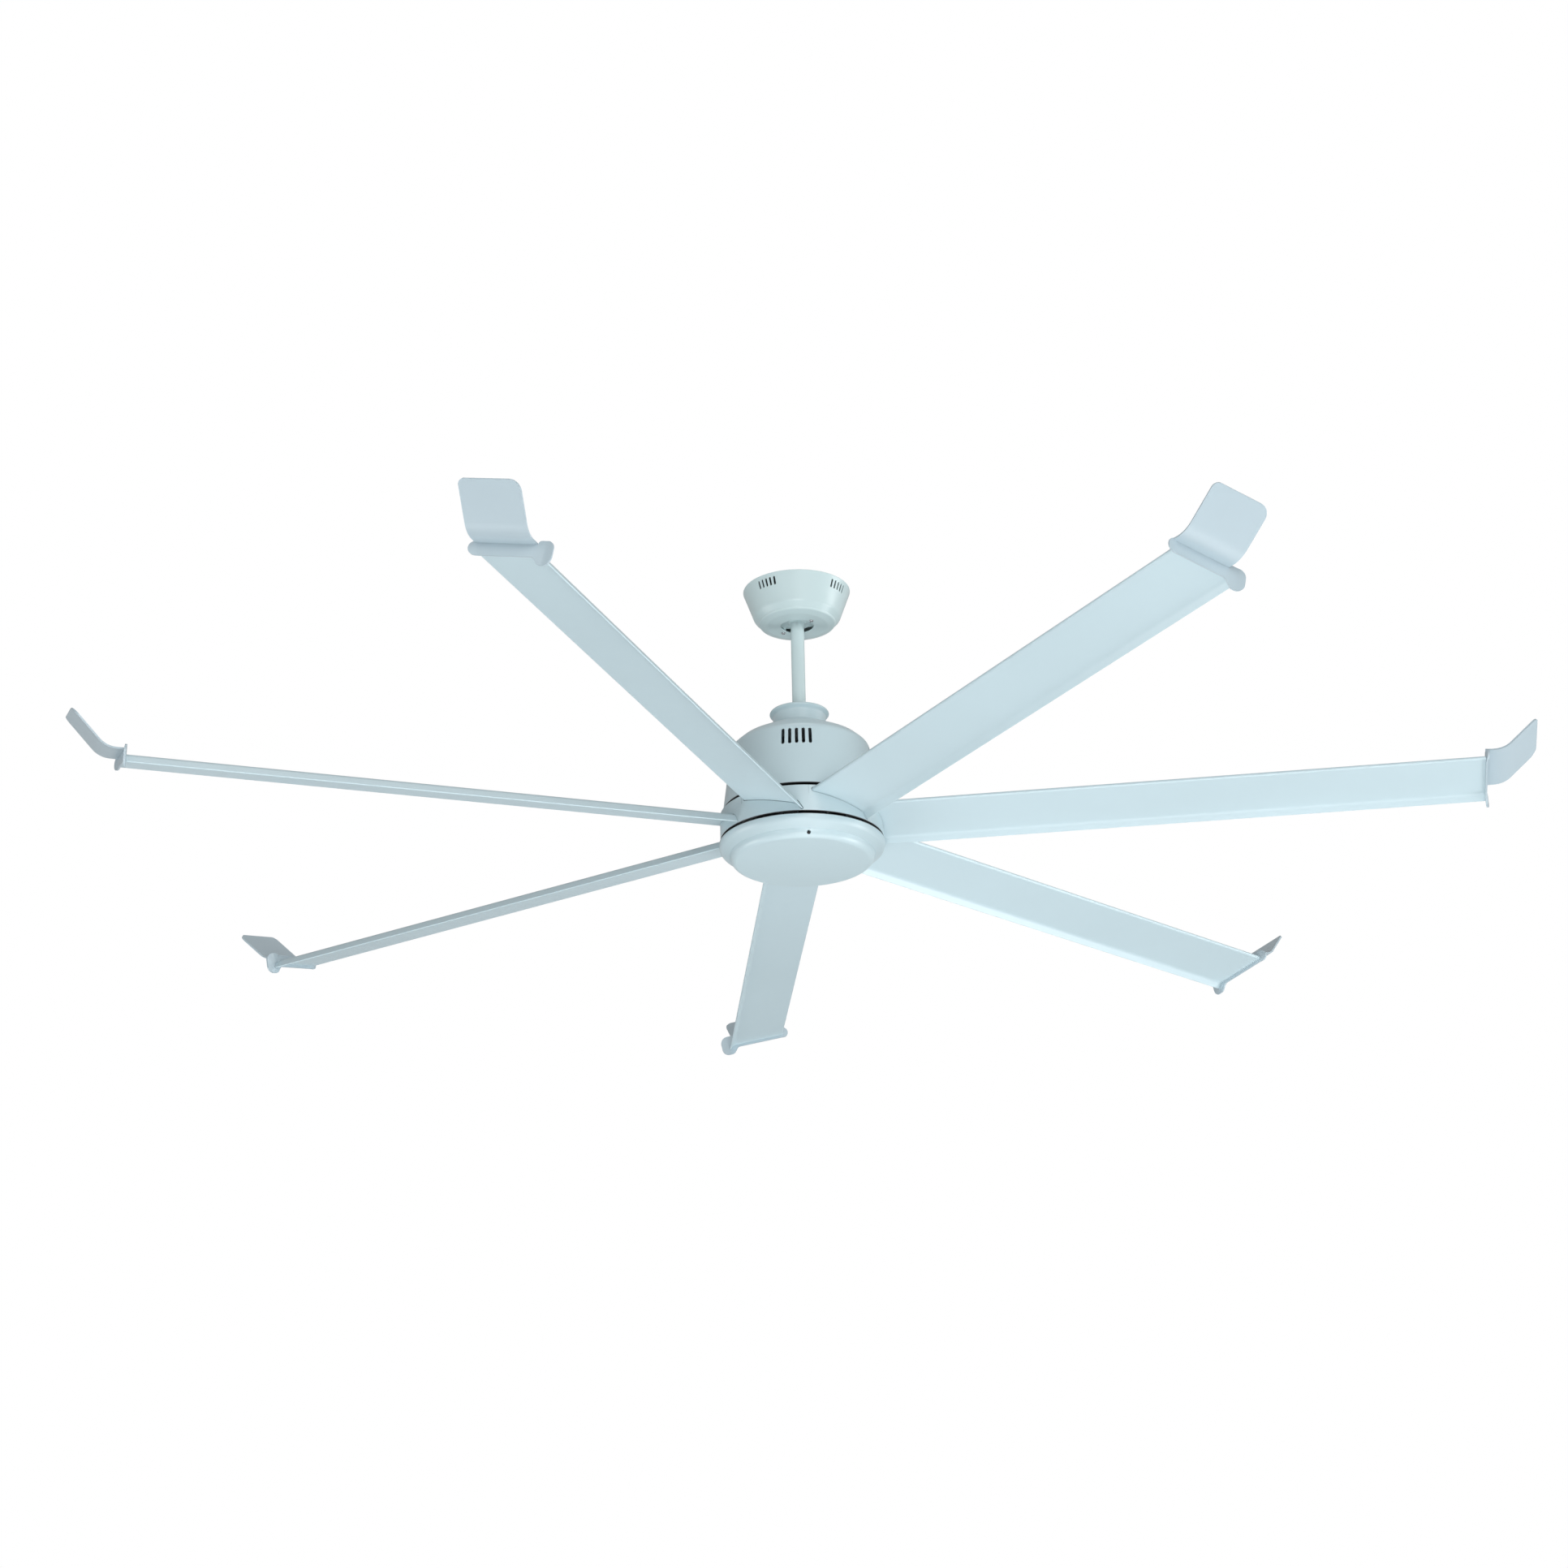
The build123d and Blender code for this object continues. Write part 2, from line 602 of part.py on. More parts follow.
def make_rotor_shell():
    bottom = CARRIER_TOP
    hub = BEARING_RADIUS + 5.0
    shell = turned([
        (BEARING_RADIUS, ROTOR_TOP - BEARING_WIDTH - 1.5, 0),
        (hub, ROTOR_TOP - BEARING_WIDTH - 1.5, 0),
        (hub + 2, ROTOR_TOP - 10, 3),
        (MAGNET_OUTER, ROTOR_TOP - 17, 4),
        (MAGNET_OUTER, bottom, 0),
        (ROTOR_RADIUS + ROTOR_FLANGE, bottom, 0),
        (ROTOR_RADIUS + ROTOR_FLANGE, bottom + 3, 1),
        (ROTOR_RADIUS, bottom + 3, 1),
        (ROTOR_RADIUS, ROTOR_TOP - 14, 6),
        (hub, ROTOR_TOP, 3),
        (BEARING_RADIUS - 3, ROTOR_TOP, 0),
        (BEARING_RADIUS - 3, ROTOR_TOP - 1.5, 0),
        (BEARING_RADIUS, ROTOR_TOP - 1.5, 0),
    ])
    for turn in around(BLADE_COUNT, FIRST_BLADE_ANGLE):
        shell -= turn * Pos(ROTOR_SCREW_RADIUS, 0, 0) * rod(2.0, bottom + 4, bottom - 1)
    return shell


def make_magnets():
    half = math.pi / MAGNET_COUNT - 0.9 / MAGNET_OUTER
    wedge = outline([
        (0, 0, 0),
        (2 * MAGNET_OUTER * math.cos(half), -2 * MAGNET_OUTER * math.sin(half), 0),
        (2 * MAGNET_OUTER * math.cos(half), 2 * MAGNET_OUTER * math.sin(half), 0),
    ])
    ring = tube(MAGNET_OUTER, MAGNET_INNER, STATOR_TOP, STATOR_BOTTOM)
    magnet = ring & prism_z(wedge, STATOR_BOTTOM - 1, STATOR_TOP + 1)
    return [turn * magnet for turn in around(MAGNET_COUNT)]


def bearing(top):
    """Inner race, outer race and balls of one bearing whose top face is at this height."""
    bottom = top - BEARING_WIDTH
    middle = (top + bottom) / 2
    pitch = (SHAFT_RADIUS + BEARING_RADIUS) / 2
    ball_radius = (BEARING_RADIUS - SHAFT_RADIUS) * 0.28
    groove = Pos(0, 0, middle) * Torus(pitch, ball_radius + BALL_GAP)
    inner = tube(SHAFT_RADIUS + RACE_WALL, SHAFT_RADIUS, top, bottom) - groove
    outer = tube(BEARING_RADIUS, BEARING_RADIUS - RACE_WALL, top, bottom) - groove
    balls = [turn * Pos(pitch, 0, middle) * Sphere(ball_radius) for turn in around(BEARING_BALLS)]
    return inner, outer, balls


def write_rotor():
    save("blade_ring", make_ring())
    save("blade_carrier", make_carrier())
    save("rotor_shell", make_rotor_shell())
    save("rotor_magnets", *make_magnets())
    upper_inner, upper_outer, upper_balls = bearing(UPPER_BEARING_TOP)
    lower_inner, lower_outer, lower_balls = bearing(LOWER_BEARING_TOP)
    save("bearing_inner_races", upper_inner, lower_inner)
    save("bearing_outer_races", upper_outer, lower_outer)
    save("bearing_balls", *upper_balls, *lower_balls)
    ring_screw = Pos(0, 0, RING_TOP) * Rot(180, 0, 0) * screw(1.6, RING_TOP - CARRIER_BOTTOM, 2.9, 1.4)
    rotor_screw = Pos(0, 0, CARRIER_TOP + 3) * Rot(180, 0, 0) * screw(2.0, 5.0, 3.6, 2.4)
    turns = around(BLADE_COUNT, FIRST_BLADE_ANGLE)
    save("ring_screws", *[turn * Pos(RING_SCREW_RADIUS, 0, 0) * ring_screw for turn in turns])
    save("rotor_screws", *[turn * Pos(ROTOR_SCREW_RADIUS, 0, 0) * rotor_screw for turn in turns])


# Stator and shaft

STATOR_HUB_RADIUS = STATOR_RADIUS * 0.36
STATOR_YOKE_RADIUS = STATOR_RADIUS * 0.56
SHAFT_BOTTOM = NUT_BOTTOM - 2.0


def make_shaft():
    shaft = rod(SHAFT_RADIUS, SHAFT_TOP, SHAFT_BOTTOM)
    return shaft - rod(SHAFT_BORE, SHAFT_TOP + 1, SHAFT_BOTTOM - 1)


def make_spacers():
    """The four sleeves that hold the bearings and the stator apart on the shaft."""
    outer = SHAFT_RADIUS + SPACER_WALL
    spans = [
        (YOKE_BOTTOM, UPPER_BEARING_TOP),
        (UPPER_BEARING_TOP - BEARING_WIDTH, STATOR_TOP + 1),
        (STATOR_BOTTOM - 1, LOWER_BEARING_TOP),
        (LOWER_BEARING_TOP - BEARING_WIDTH, LOWER_PLATE_TOP + LOWER_BOSS),
    ]
    return [tube(outer, SHAFT_RADIUS, top, bottom) for top, bottom in spans]


def make_stator_hub():
    hub = tube(STATOR_HUB_RADIUS, SHAFT_RADIUS, STATOR_TOP + 1, STATOR_BOTTOM - 1)
    for turn in around(6, 30):
        hub -= turn * Pos((STATOR_HUB_RADIUS + SHAFT_RADIUS) / 2, 0, 0) * rod(4.5, STATOR_TOP + 2, STATOR_BOTTOM - 2)
    return hub


def make_stator_core():
    shoe_depth = 3.0
    core = tube(STATOR_YOKE_RADIUS, STATOR_HUB_RADIUS, STATOR_TOP, STATOR_BOTTOM)
    shoe_half = math.pi / STATOR_TEETH * 0.86
    reach = 2 * STATOR_RADIUS
    wedge = outline([
        (0, 0, 0),
        (reach * math.cos(shoe_half), -reach * math.sin(shoe_half), 0),
        (reach * math.cos(shoe_half), reach * math.sin(shoe_half), 0),
    ])
    shoe = tube(STATOR_RADIUS, STATOR_RADIUS - shoe_depth, STATOR_TOP, STATOR_BOTTOM)
    shoe &= prism_z(wedge, STATOR_BOTTOM - 1, STATOR_TOP + 1)
    stem = block(
        STATOR_YOKE_RADIUS - 2,
        STATOR_RADIUS - shoe_depth / 2,
        -TOOTH_WIDTH / 2,
        TOOTH_WIDTH / 2,
        STATOR_BOTTOM,
        STATOR_TOP,
    )
    tooth = shoe + stem
    for turn in around(STATOR_TEETH):
        core += turn * tooth
    return core


def make_windings():
    start = STATOR_YOKE_RADIUS + 2.5
    end = STATOR_RADIUS - 4.0
    wide = TOOTH_WIDTH / 2 + COIL_SIDE
    coil = block(start, end, -wide, wide, STATOR_BOTTOM - COIL_END, STATOR_TOP + COIL_END)
    coil = fillet(coil.edges().filter_by(Axis.X), 3.0)
    gap = 0.2
    coil -= block(
        start - 1,
        end + 1,
        -TOOTH_WIDTH / 2 - gap,
        TOOTH_WIDTH / 2 + gap,
        STATOR_BOTTOM - gap,
        STATOR_TOP + gap,
    )
    return [turn * coil for turn in around(STATOR_TEETH)]


def make_yoke():
    yoke = rod(YOKE_RADIUS, YOKE_TOP, YOKE_BOTTOM)
    yoke += rod(YOKE_FLANGE_RADIUS, DOME_TOP + YOKE_FLANGE_THICKNESS, DOME_TOP)
    yoke -= rod(ROD_RADIUS + SLIP, YOKE_TOP + 1, ROD_BOTTOM)
    yoke -= rod(SHAFT_RADIUS, SHAFT_TOP, YOKE_BOTTOM - 1)
    yoke -= rod(SHAFT_BORE, ROD_BOTTOM + 1, SHAFT_TOP - 1)
    yoke -= Pos(0, 0, YOKE_PIN_Z) * Rot(0, 90, 0) * Cylinder(PIN_RADIUS, 4 * YOKE_RADIUS)
    for angle, height in ((90, YOKE_PIN_Z), (-90, YOKE_PIN_Z), (45, YOKE_BOTTOM + SET_SCREW_RISE)):
        yoke -= outward(angle, 0, height) * Rot(180, 0, 0) * rod(SET_SCREW_RADIUS, 3 * YOKE_RADIUS, 0)
    for turn in around(HOUSING_SCREWS, 60):
        yoke -= turn * Pos(YOKE_FLANGE_RADIUS - 7, 0, 0) * rod(2.5, DOME_TOP + YOKE_FLANGE_THICKNESS + 1, DOME_TOP - 1)
    return yoke


def make_yoke_pin():
    length = 2 * YOKE_RADIUS + 9
    pin = Cylinder(PIN_RADIUS, length) + Pos(0, 0, length / 2 + 1.25) * Cylinder(PIN_RADIUS + 2, 2.5)
    pin -= Pos(0, 0, -length / 2 + 3) * Rot(90, 0, 0) * Cylinder(1.0, 4 * PIN_RADIUS)
    shift = length / 2 - YOKE_RADIUS
    return Pos(-shift, 0, YOKE_PIN_Z) * Rot(0, 90, 0) * pin


def make_yoke_clip():
    """A hairpin through the pin's end: one straight leg, a loop and a leg over the pin."""
    wire = 0.9
    length = 2 * YOKE_RADIUS + 9
    hole_x = YOKE_RADIUS - length + 3
    path = FilletPolyline(
        (hole_x, -8, YOKE_PIN_Z),
        (hole_x, 12, YOKE_PIN_Z),
        (hole_x, 16, YOKE_PIN_Z + 5),
        (hole_x, 11, YOKE_PIN_Z + 5.4),
        (hole_x, 4, YOKE_PIN_Z + PIN_RADIUS + wire + 0.1),
        (hole_x, -5, YOKE_PIN_Z + PIN_RADIUS + wire + 0.3),
        radius=[2.6, 2.2, 3, 3],
    )
    section = Plane(origin=path @ 0, z_dir=path % 0) * Circle(wire)
    return sweep(section, path=path, transition=Transition.TRANSFORMED)


def write_stator():
    save("motor_shaft", make_shaft())
    save("shaft_spacers", *make_spacers())
    save("stator_hub", make_stator_hub())
    save("stator_core", make_stator_core())
    save("stator_windings", *make_windings())


# Downrod, ball and yoke

BALL_Z = -BALL_DEPTH
BALL_TOP = BALL_Z + BALL_RADIUS * 0.75
BALL_PIN_Z = BALL_TOP - PIN_RADIUS


def make_downrod():
    tube_part = rod(ROD_RADIUS, ROD_TOP, ROD_BOTTOM) - rod(ROD_RADIUS - ROD_WALL, ROD_TOP + 1, ROD_BOTTOM - 1)
    tube_part -= Pos(0, 0, YOKE_PIN_Z) * Rot(0, 90, 0) * Cylinder(PIN_RADIUS, 4 * ROD_RADIUS)
    tube_part -= Pos(0, 0, BALL_PIN_Z) * Rot(0, 90, 0) * Cylinder(PIN_RADIUS, 4 * ROD_RADIUS)
    return tube_part


def make_ball():
    ball = Pos(0, 0, BALL_Z) * Sphere(BALL_RADIUS)
    ball &= rod(2 * BALL_RADIUS, BALL_TOP, BALL_Z - BALL_RADIUS * 0.8)
    ball -= rod(ROD_RADIUS + SLIP, 0, -2 * BALL_DEPTH)
    ball -= block(-BALL_RADIUS, BALL_RADIUS, -PIN_RADIUS, PIN_RADIUS, BALL_PIN_Z, BALL_TOP + 1)
    ball -= Pos(0, 0, BALL_PIN_Z) * Rot(0, 90, 0) * Cylinder(PIN_RADIUS, 3 * BALL_RADIUS)
    groove_half = TAB_WIDTH / 2 + TAB_CLEARANCE
    groove = block(-groove_half, groove_half, 0, BALL_RADIUS + 4, BALL_Z - 20, BALL_Z + 12)
    groove -= Pos(0, 0, BALL_Z) * Rot(0, 90, 0) * Cylinder(BALL_RADIUS - TAB_REACH - TAB_CLEARANCE, 4 * TAB_WIDTH)
    ball -= groove
    ball -= outward(-90, 0, BALL_Z + 6) * Rot(180, 0, 0) * rod(SET_SCREW_RADIUS, BALL_RADIUS + 4, 0)
    return ball


def make_coupling_cover():
    wall = 1.8
    return turned([
        (NECK_RADIUS - wall, DOME_TOP, 0),
        (NECK_RADIUS, DOME_TOP, 0),
        (NECK_RADIUS, NECK_TOP - 8.5, 2.5),
        (NECK_RADIUS + LIP_FLARE, NECK_TOP - 3.4, 1.8),
        (NECK_RADIUS + LIP_FLARE - 2, NECK_TOP, 1.8),
        (NECK_RADIUS - 6, NECK_TOP - 0.6, 4),
        (ROD_RADIUS + 3, NECK_TOP + 2.2, 0),
        (ROD_RADIUS + 3, NECK_TOP - 0.2, 0),
        (NECK_RADIUS - 7, NECK_TOP - 2.6, 3),
        (NECK_RADIUS - wall, NECK_TOP - 5.5, 2),
    ])


def make_grommet():
    hole = ROD_RADIUS + 3
    return turned([
        (ROD_RADIUS + SLIP, NECK_TOP - 2.6, 0),
        (hole + 2, NECK_TOP - 2.6, 0.6),
        (hole + 2, NECK_TOP - 0.55, 0),
        (hole, NECK_TOP - 0.35, 0),
        (hole, NECK_TOP + 2.35, 0),
        (hole + 1.6, NECK_TOP + 2.3, 0),
        (ROD_RADIUS + 2.2, NECK_TOP + 5.4, 1.2),
        (ROD_RADIUS + SLIP, NECK_TOP + 5.4, 0.8),
    ])


def write_hanger():
    pin = Pos(0, 0, BALL_PIN_Z) * Rot(0, 90, 0) * Cylinder(PIN_RADIUS, 2 * ROD_RADIUS + 9)
    set_screw = outward(-90, ROD_RADIUS, BALL_Z + 6) * Rot(180, 0, 0) * rod(SET_SCREW_RADIUS, 9.0, 0)
    save("downrod", make_downrod())
    save("hanger_ball", make_ball())
    save("ball_pin", pin)
    save("ball_set_screw", set_screw)
    save("coupling_cover", make_coupling_cover())
    save("rod_grommet", make_grommet())
    save("yoke", make_yoke())
    save("yoke_pin", make_yoke_pin())
    save("yoke_clip", make_yoke_clip())
    rod_screws = []
    for angle in (90, -90):
        rod_screws.append(outward(angle, ROD_RADIUS, YOKE_PIN_Z) * Rot(180, 0, 0) * rod(SET_SCREW_RADIUS, 7.5, 0))
    place = outward(45, SHAFT_RADIUS, YOKE_BOTTOM + SET_SCREW_RISE) * Rot(180, 0, 0)
    shaft_screw = place * rod(SET_SCREW_RADIUS, 9.0, 0)
    save("yoke_set_screws", *rod_screws, shaft_screw)


# Fixed housings


def make_housing():
    outer = [
        (NECK_RADIUS + 1.2, DOME_TOP, 0),
        (DOME_SHOULDER - 15, DOME_TOP - 29.5, 20),
        (DOME_SHOULDER, DOME_SHOULDER_Z - 6, 14),
        (DOME_RADIUS, DOME_BOTTOM, 0),
    ]
    inner = [
        (DOME_RADIUS - DOME_WALL, DOME_BOTTOM, 0),
        (DOME_SHOULDER - DOME_WALL, DOME_SHOULDER_Z - 6, 12),
        (DOME_SHOULDER - 16, DOME_TOP - 32, 18),
        (NECK_RADIUS, DOME_TOP - DOME_WALL, 0),
        (YOKE_RADIUS, DOME_TOP - DOME_WALL, 0),
        (YOKE_RADIUS, DOME_TOP, 0),
    ]
    dome = turned(outer + inner)
    middle = DOME_TOP - DOME_VENT_DEPTH
    slot = SlotOverall(DOME_VENT_HEIGHT, DOME_VENT_WIDTH, rotation=90)
    cutter = prism_x(slot.face(), DOME_SHOULDER * 0.7, DOME_RADIUS + 5)
    angle_step = math.degrees(DOME_VENT_PITCH / (DOME_SHOULDER + 3.0))
    for group in range(VENT_GROUPS):
        for index in range(DOME_VENTS):
            angle = DOME_VENT_ANGLE + group * 360 / VENT_GROUPS + (index - (DOME_VENTS - 1) / 2) * angle_step
            dome -= Rot(0, 0, angle) * Pos(0, 0, middle) * cutter
    for turn in around(HOUSING_SCREWS, 60):
        dome -= turn * Pos(YOKE_FLANGE_RADIUS - 7, 0, 0) * rod(2.5, DOME_TOP + 1, DOME_TOP - 5)
    return dome


def make_lower_plate():
    plate = rod(LOWER_PLATE_RADIUS, LOWER_PLATE_TOP, LOWER_PLATE_BOTTOM)
    plate += rod(SHAFT_RADIUS + 6, LOWER_PLATE_TOP + LOWER_BOSS, LOWER_PLATE_TOP)
    plate -= rod(SHAFT_RADIUS, LOWER_PLATE_TOP + LOWER_BOSS + 2, LOWER_PLATE_BOTTOM - 2)
    for turn in around(COVER_SCREWS, 45):
        post = Pos(COVER_SCREW_RADIUS, 0, 0)
        plate += turn * post * rod(5.5, LOWER_PLATE_BOTTOM, COVER_FLANGE_TOP)
        plate -= turn * post * rod(2.0, COVER_FLANGE_TOP + 10, COVER_FLANGE_TOP - 1)
        stand = Pos(BOARD_RADIUS - 7, 0, 0)
        plate += turn * stand * rod(4.0, LOWER_PLATE_BOTTOM, BOARD_TOP)
    return plate


def make_bottom_cover():
    flange_inner = COVER_SCREW_RADIUS - 8
    collar_inner = COLLAR_RADIUS - COLLAR_WALL
    collar_bottom = COVER_BOTTOM - 9.0
    cover = turned([
        (COVER_RADIUS - COVER_WALL, COVER_TOP, 0.8),
        (COVER_RADIUS, COVER_TOP, 0.8),
        (COVER_RADIUS, COVER_TOP - 11, 11),
        (CAP_RADIUS + 1, COVER_BOTTOM, 3),
        (COLLAR_RADIUS, COVER_BOTTOM, 0),
        (COLLAR_RADIUS, collar_bottom, 0),
        (collar_inner, collar_bottom, 0),
        (collar_inner, COVER_BOTTOM, 0),
        (flange_inner, COVER_BOTTOM, 0),
        (flange_inner, COVER_FLANGE_TOP, 0),
        (CAP_RADIUS, COVER_FLANGE_TOP, 4),
        (COVER_RADIUS - COVER_WALL, COVER_TOP - 10.4, 9),
    ])
    for turn in around(COVER_SCREWS, 45):
        cover -= turn * Pos(COVER_SCREW_RADIUS, 0, 0) * rod(2.0, COVER_FLANGE_TOP + 1, COVER_BOTTOM - 1)
    for turn in around(CAP_SCREWS, CAP_SCREW_ANGLE):
        cover -= turn * Pos(COLLAR_RADIUS, 0, CAP_SCREW_Z) * Rot(0, 90, 0) * Cylinder(1.5, 12)
    return cover


CAP_SCREW_Z = COVER_BOTTOM - 6.2


def make_cap():
    crown = CAP_EDGE_Z - CAP_CROWN
    outer = [
        (0, crown, 0),
        (CAP_RADIUS * 0.5, crown + CAP_CROWN * 0.25, 900),
        (CAP_RADIUS - CAP_TAPER, CAP_EDGE_Z, CAP_ROUND),
        (CAP_RADIUS, COVER_BOTTOM, 0),
    ]
    inner = [
        (CAP_RADIUS - CAP_WALL, COVER_BOTTOM, 0),
        (CAP_RADIUS - CAP_TAPER - CAP_WALL, CAP_EDGE_Z + CAP_WALL, CAP_ROUND - CAP_WALL),
        (CAP_RADIUS * 0.5, crown + CAP_CROWN * 0.25 + CAP_WALL, 900),
        (0, crown + CAP_WALL, 0),
    ]
    shell = turned(outer + inner)
    filled = turned(outer + [(0, COVER_BOTTOM, 0)])
    for turn in around(CAP_SCREWS, CAP_SCREW_ANGLE):
        boss = block(COLLAR_RADIUS, CAP_RADIUS, -5.0, 5.0, CAP_SCREW_Z - 5.0, CAP_SCREW_Z + 3.8)
        shell += (turn * boss) & filled
    for turn in around(CAP_SCREWS, CAP_SCREW_ANGLE):
        shell -= turn * Pos(CAP_RADIUS - 4, 0, CAP_SCREW_Z) * Rot(0, 90, 0) * Cylinder(1.5, 14)
        shell -= turn * Pos(CAP_RADIUS - CAP_SCREW_INSET + 5, 0, CAP_SCREW_Z) * Rot(0, 90, 0) * Cylinder(CAP_SCREW_HOLE, 10)
    return shell


def make_board():
    board = rod(BOARD_RADIUS, BOARD_TOP, BOARD_TOP - BOARD_THICKNESS)
    return board


def make_board_parts():
    """Two electrolytic capacitors, a choke, three power chips and two sockets, on the board's upper side."""
    parts = []
    for x, y in ((46, 22), (46, -22)):
        can = rod(8.0, BOARD_TOP + 11, BOARD_TOP)
        parts.append(Pos(x, y, 0) * fillet(can.edges().filter_by(GeomType.CIRCLE).sort_by(Axis.Z)[-1], 1.2))
    parts.append(Pos(-44, 18, 0) * tube(11, 5, BOARD_TOP + 8, BOARD_TOP))
    for y in (-40, -26, -12):
        parts.append(block(-52, -42, y - 5, y + 5, BOARD_TOP, BOARD_TOP + 3.2))
    for y in (34, -46):
        parts.append(block(-12, 12, y, y + 10, BOARD_TOP, BOARD_TOP + 8))
    return parts


def make_leads():
    """The leads pass both pins on one side of the rod, then run down the bore of the shaft."""
    path = FilletPolyline(
        (0, LEAD_OFFSET, ROD_TOP + 1),
        (0, LEAD_OFFSET, YOKE_PIN_Z - PIN_RADIUS - 4),
        (0, 0, ROD_BOTTOM + 3),
        (0, 0, BOARD_TOP),
        radius=8,
    )
    section = Plane(origin=path @ 0, z_dir=path % 0) * Circle(LEAD_RADIUS)
    return sweep(section, path=path)


def write_housings():
    save("motor_housing", make_housing())
    save("lower_plate", make_lower_plate())
    save("bottom_cover", make_bottom_cover())
    save("bottom_cap", make_cap())
    save("control_board", make_board())
    save("board_components", *make_board_parts())
    housing_screw = Pos(0, 0, DOME_TOP + YOKE_FLANGE_THICKNESS) * Rot(180, 0, 0) * screw(2.5, 11.0, 4.6, 3.0)
    turns = around(HOUSING_SCREWS, 60)
    save("housing_screws", *[turn * Pos(YOKE_FLANGE_RADIUS - 7, 0, 0) * housing_screw for turn in turns])
    cover_screw = Pos(0, 0, COVER_BOTTOM) * screw(2.0, 9.0, 3.8, 2.4)
    turns = around(COVER_SCREWS, 45)
    save("cover_screws", *[turn * Pos(COVER_SCREW_RADIUS, 0, 0) * cover_screw for turn in turns])
    cap_screw = Pos(CAP_RADIUS - CAP_SCREW_INSET, 0, CAP_SCREW_Z) * Rot(0, -90, 0) * screw(1.5, 7.1, 2.9, 1.6)
    save("cap_screws", *[turn * cap_screw for turn in around(CAP_SCREWS, CAP_SCREW_ANGLE)])
    seal = tube(CAP_RADIUS - CAP_WALL - 0.4, COLLAR_RADIUS, COVER_BOTTOM, COVER_BOTTOM - 2.0)
    save("cap_seal", seal)
    save("shaft_washer", tube(SHAFT_RADIUS + 7, SHAFT_RADIUS, LOWER_PLATE_BOTTOM, LOWER_PLATE_BOTTOM - 2))
    hexagon = prism_z(RegularPolygon(SHAFT_RADIUS + 6, 6).face(), NUT_BOTTOM, LOWER_PLATE_BOTTOM - 2)
    save("shaft_nut", hexagon - rod(SHAFT_RADIUS, 0, -2 * DROP))
    save("motor_leads", make_leads())
    plug = block(-7, 7, LEAD_OFFSET - 4.5, LEAD_OFFSET + 4.5, ROD_TOP + 1, ROD_TOP + 9)
    save("lead_connector", fillet(plug.edges().filter_by(Axis.Z), 1.2))


# Canopy and ceiling bracket

LEG_BOTTOM = BALL_Z - 15.0
SEAT_TOP = LEG_BOTTOM + SEAT_HEIGHT - 1.0
CANOPY_TOP = -CEILING_GAP
CANOPY_BOTTOM = -CANOPY_HEIGHT


def canopy_screw_spots():
    """Places of the two canopy screws, in plan."""
    spots = []
    for angle in CANOPY_SCREW_ANGLES:
        turn = math.radians(angle)
        spots.append((CANOPY_SCREW_RADIUS * math.cos(turn), CANOPY_SCREW_RADIUS * math.sin(turn)))
    return spots


def make_bracket():
    half = BRACKET_WIDTH / 2
    leg = BRACKET_LEG_OFFSET
    thick = BRACKET_THICKNESS
    bracket = rod(PLATE_RADIUS, 0, -thick)
    strap = block(-leg, leg, -half, half, LEG_BOTTOM - thick, -thick / 2)
    strap -= block(-leg + thick, leg - thick, -half - 1, half + 1, LEG_BOTTOM, -thick)
    bracket += strap
    for x, y in canopy_screw_spots():
        bracket += Pos(x, y, 0) * rod(POST_RADIUS, LEG_BOTTOM, CANOPY_BOTTOM + CANOPY_WALL)
        bracket += block(min(x, 0), max(x, 0), min(y, 0), max(y, 0), LEG_BOTTOM - thick, LEG_BOTTOM)
    seat_outer = BALL_RADIUS + SEAT_WALL
    bracket += rod(seat_outer, SEAT_TOP, LEG_BOTTOM - thick)
    bracket -= Pos(0, 0, BALL_Z) * Sphere(BALL_RADIUS + BALL_CLEARANCE)
    drop = BALL_Z - (LEG_BOTTOM - thick)
    bracket -= rod(math.sqrt((BALL_RADIUS + BALL_CLEARANCE) ** 2 - drop ** 2), LEG_BOTTOM + thick, LEG_BOTTOM - 2 * thick)
    tab = block(-TAB_WIDTH / 2, TAB_WIDTH / 2, 0, BALL_RADIUS + 1.5, SEAT_TOP - 5, SEAT_TOP)
    tab -= Pos(0, 0, BALL_Z) * Rot(0, 90, 0) * Cylinder(BALL_RADIUS - TAB_REACH, 4 * TAB_WIDTH)
    bracket += tab
    bracket -= rod(WIRE_HOLE_RADIUS, 1, -thick - 1)
    for side in (-1, 1):
        hole = Pos(side * CEILING_HOLE_SPACING / 2, 0, 0)
        bracket -= hole * rod(CEILING_HOLE_RADIUS, 1, -thick - 1)
    for x, y in canopy_screw_spots():
        bracket -= Pos(x, y, 0) * rod(CANOPY_SCREW_SHANK, LEG_BOTTOM + 1, CANOPY_BOTTOM)
    bracket -= Pos(0, -EARTH_OFFSET, 0) * rod(2.0, 1, -thick - 1)
    return bracket


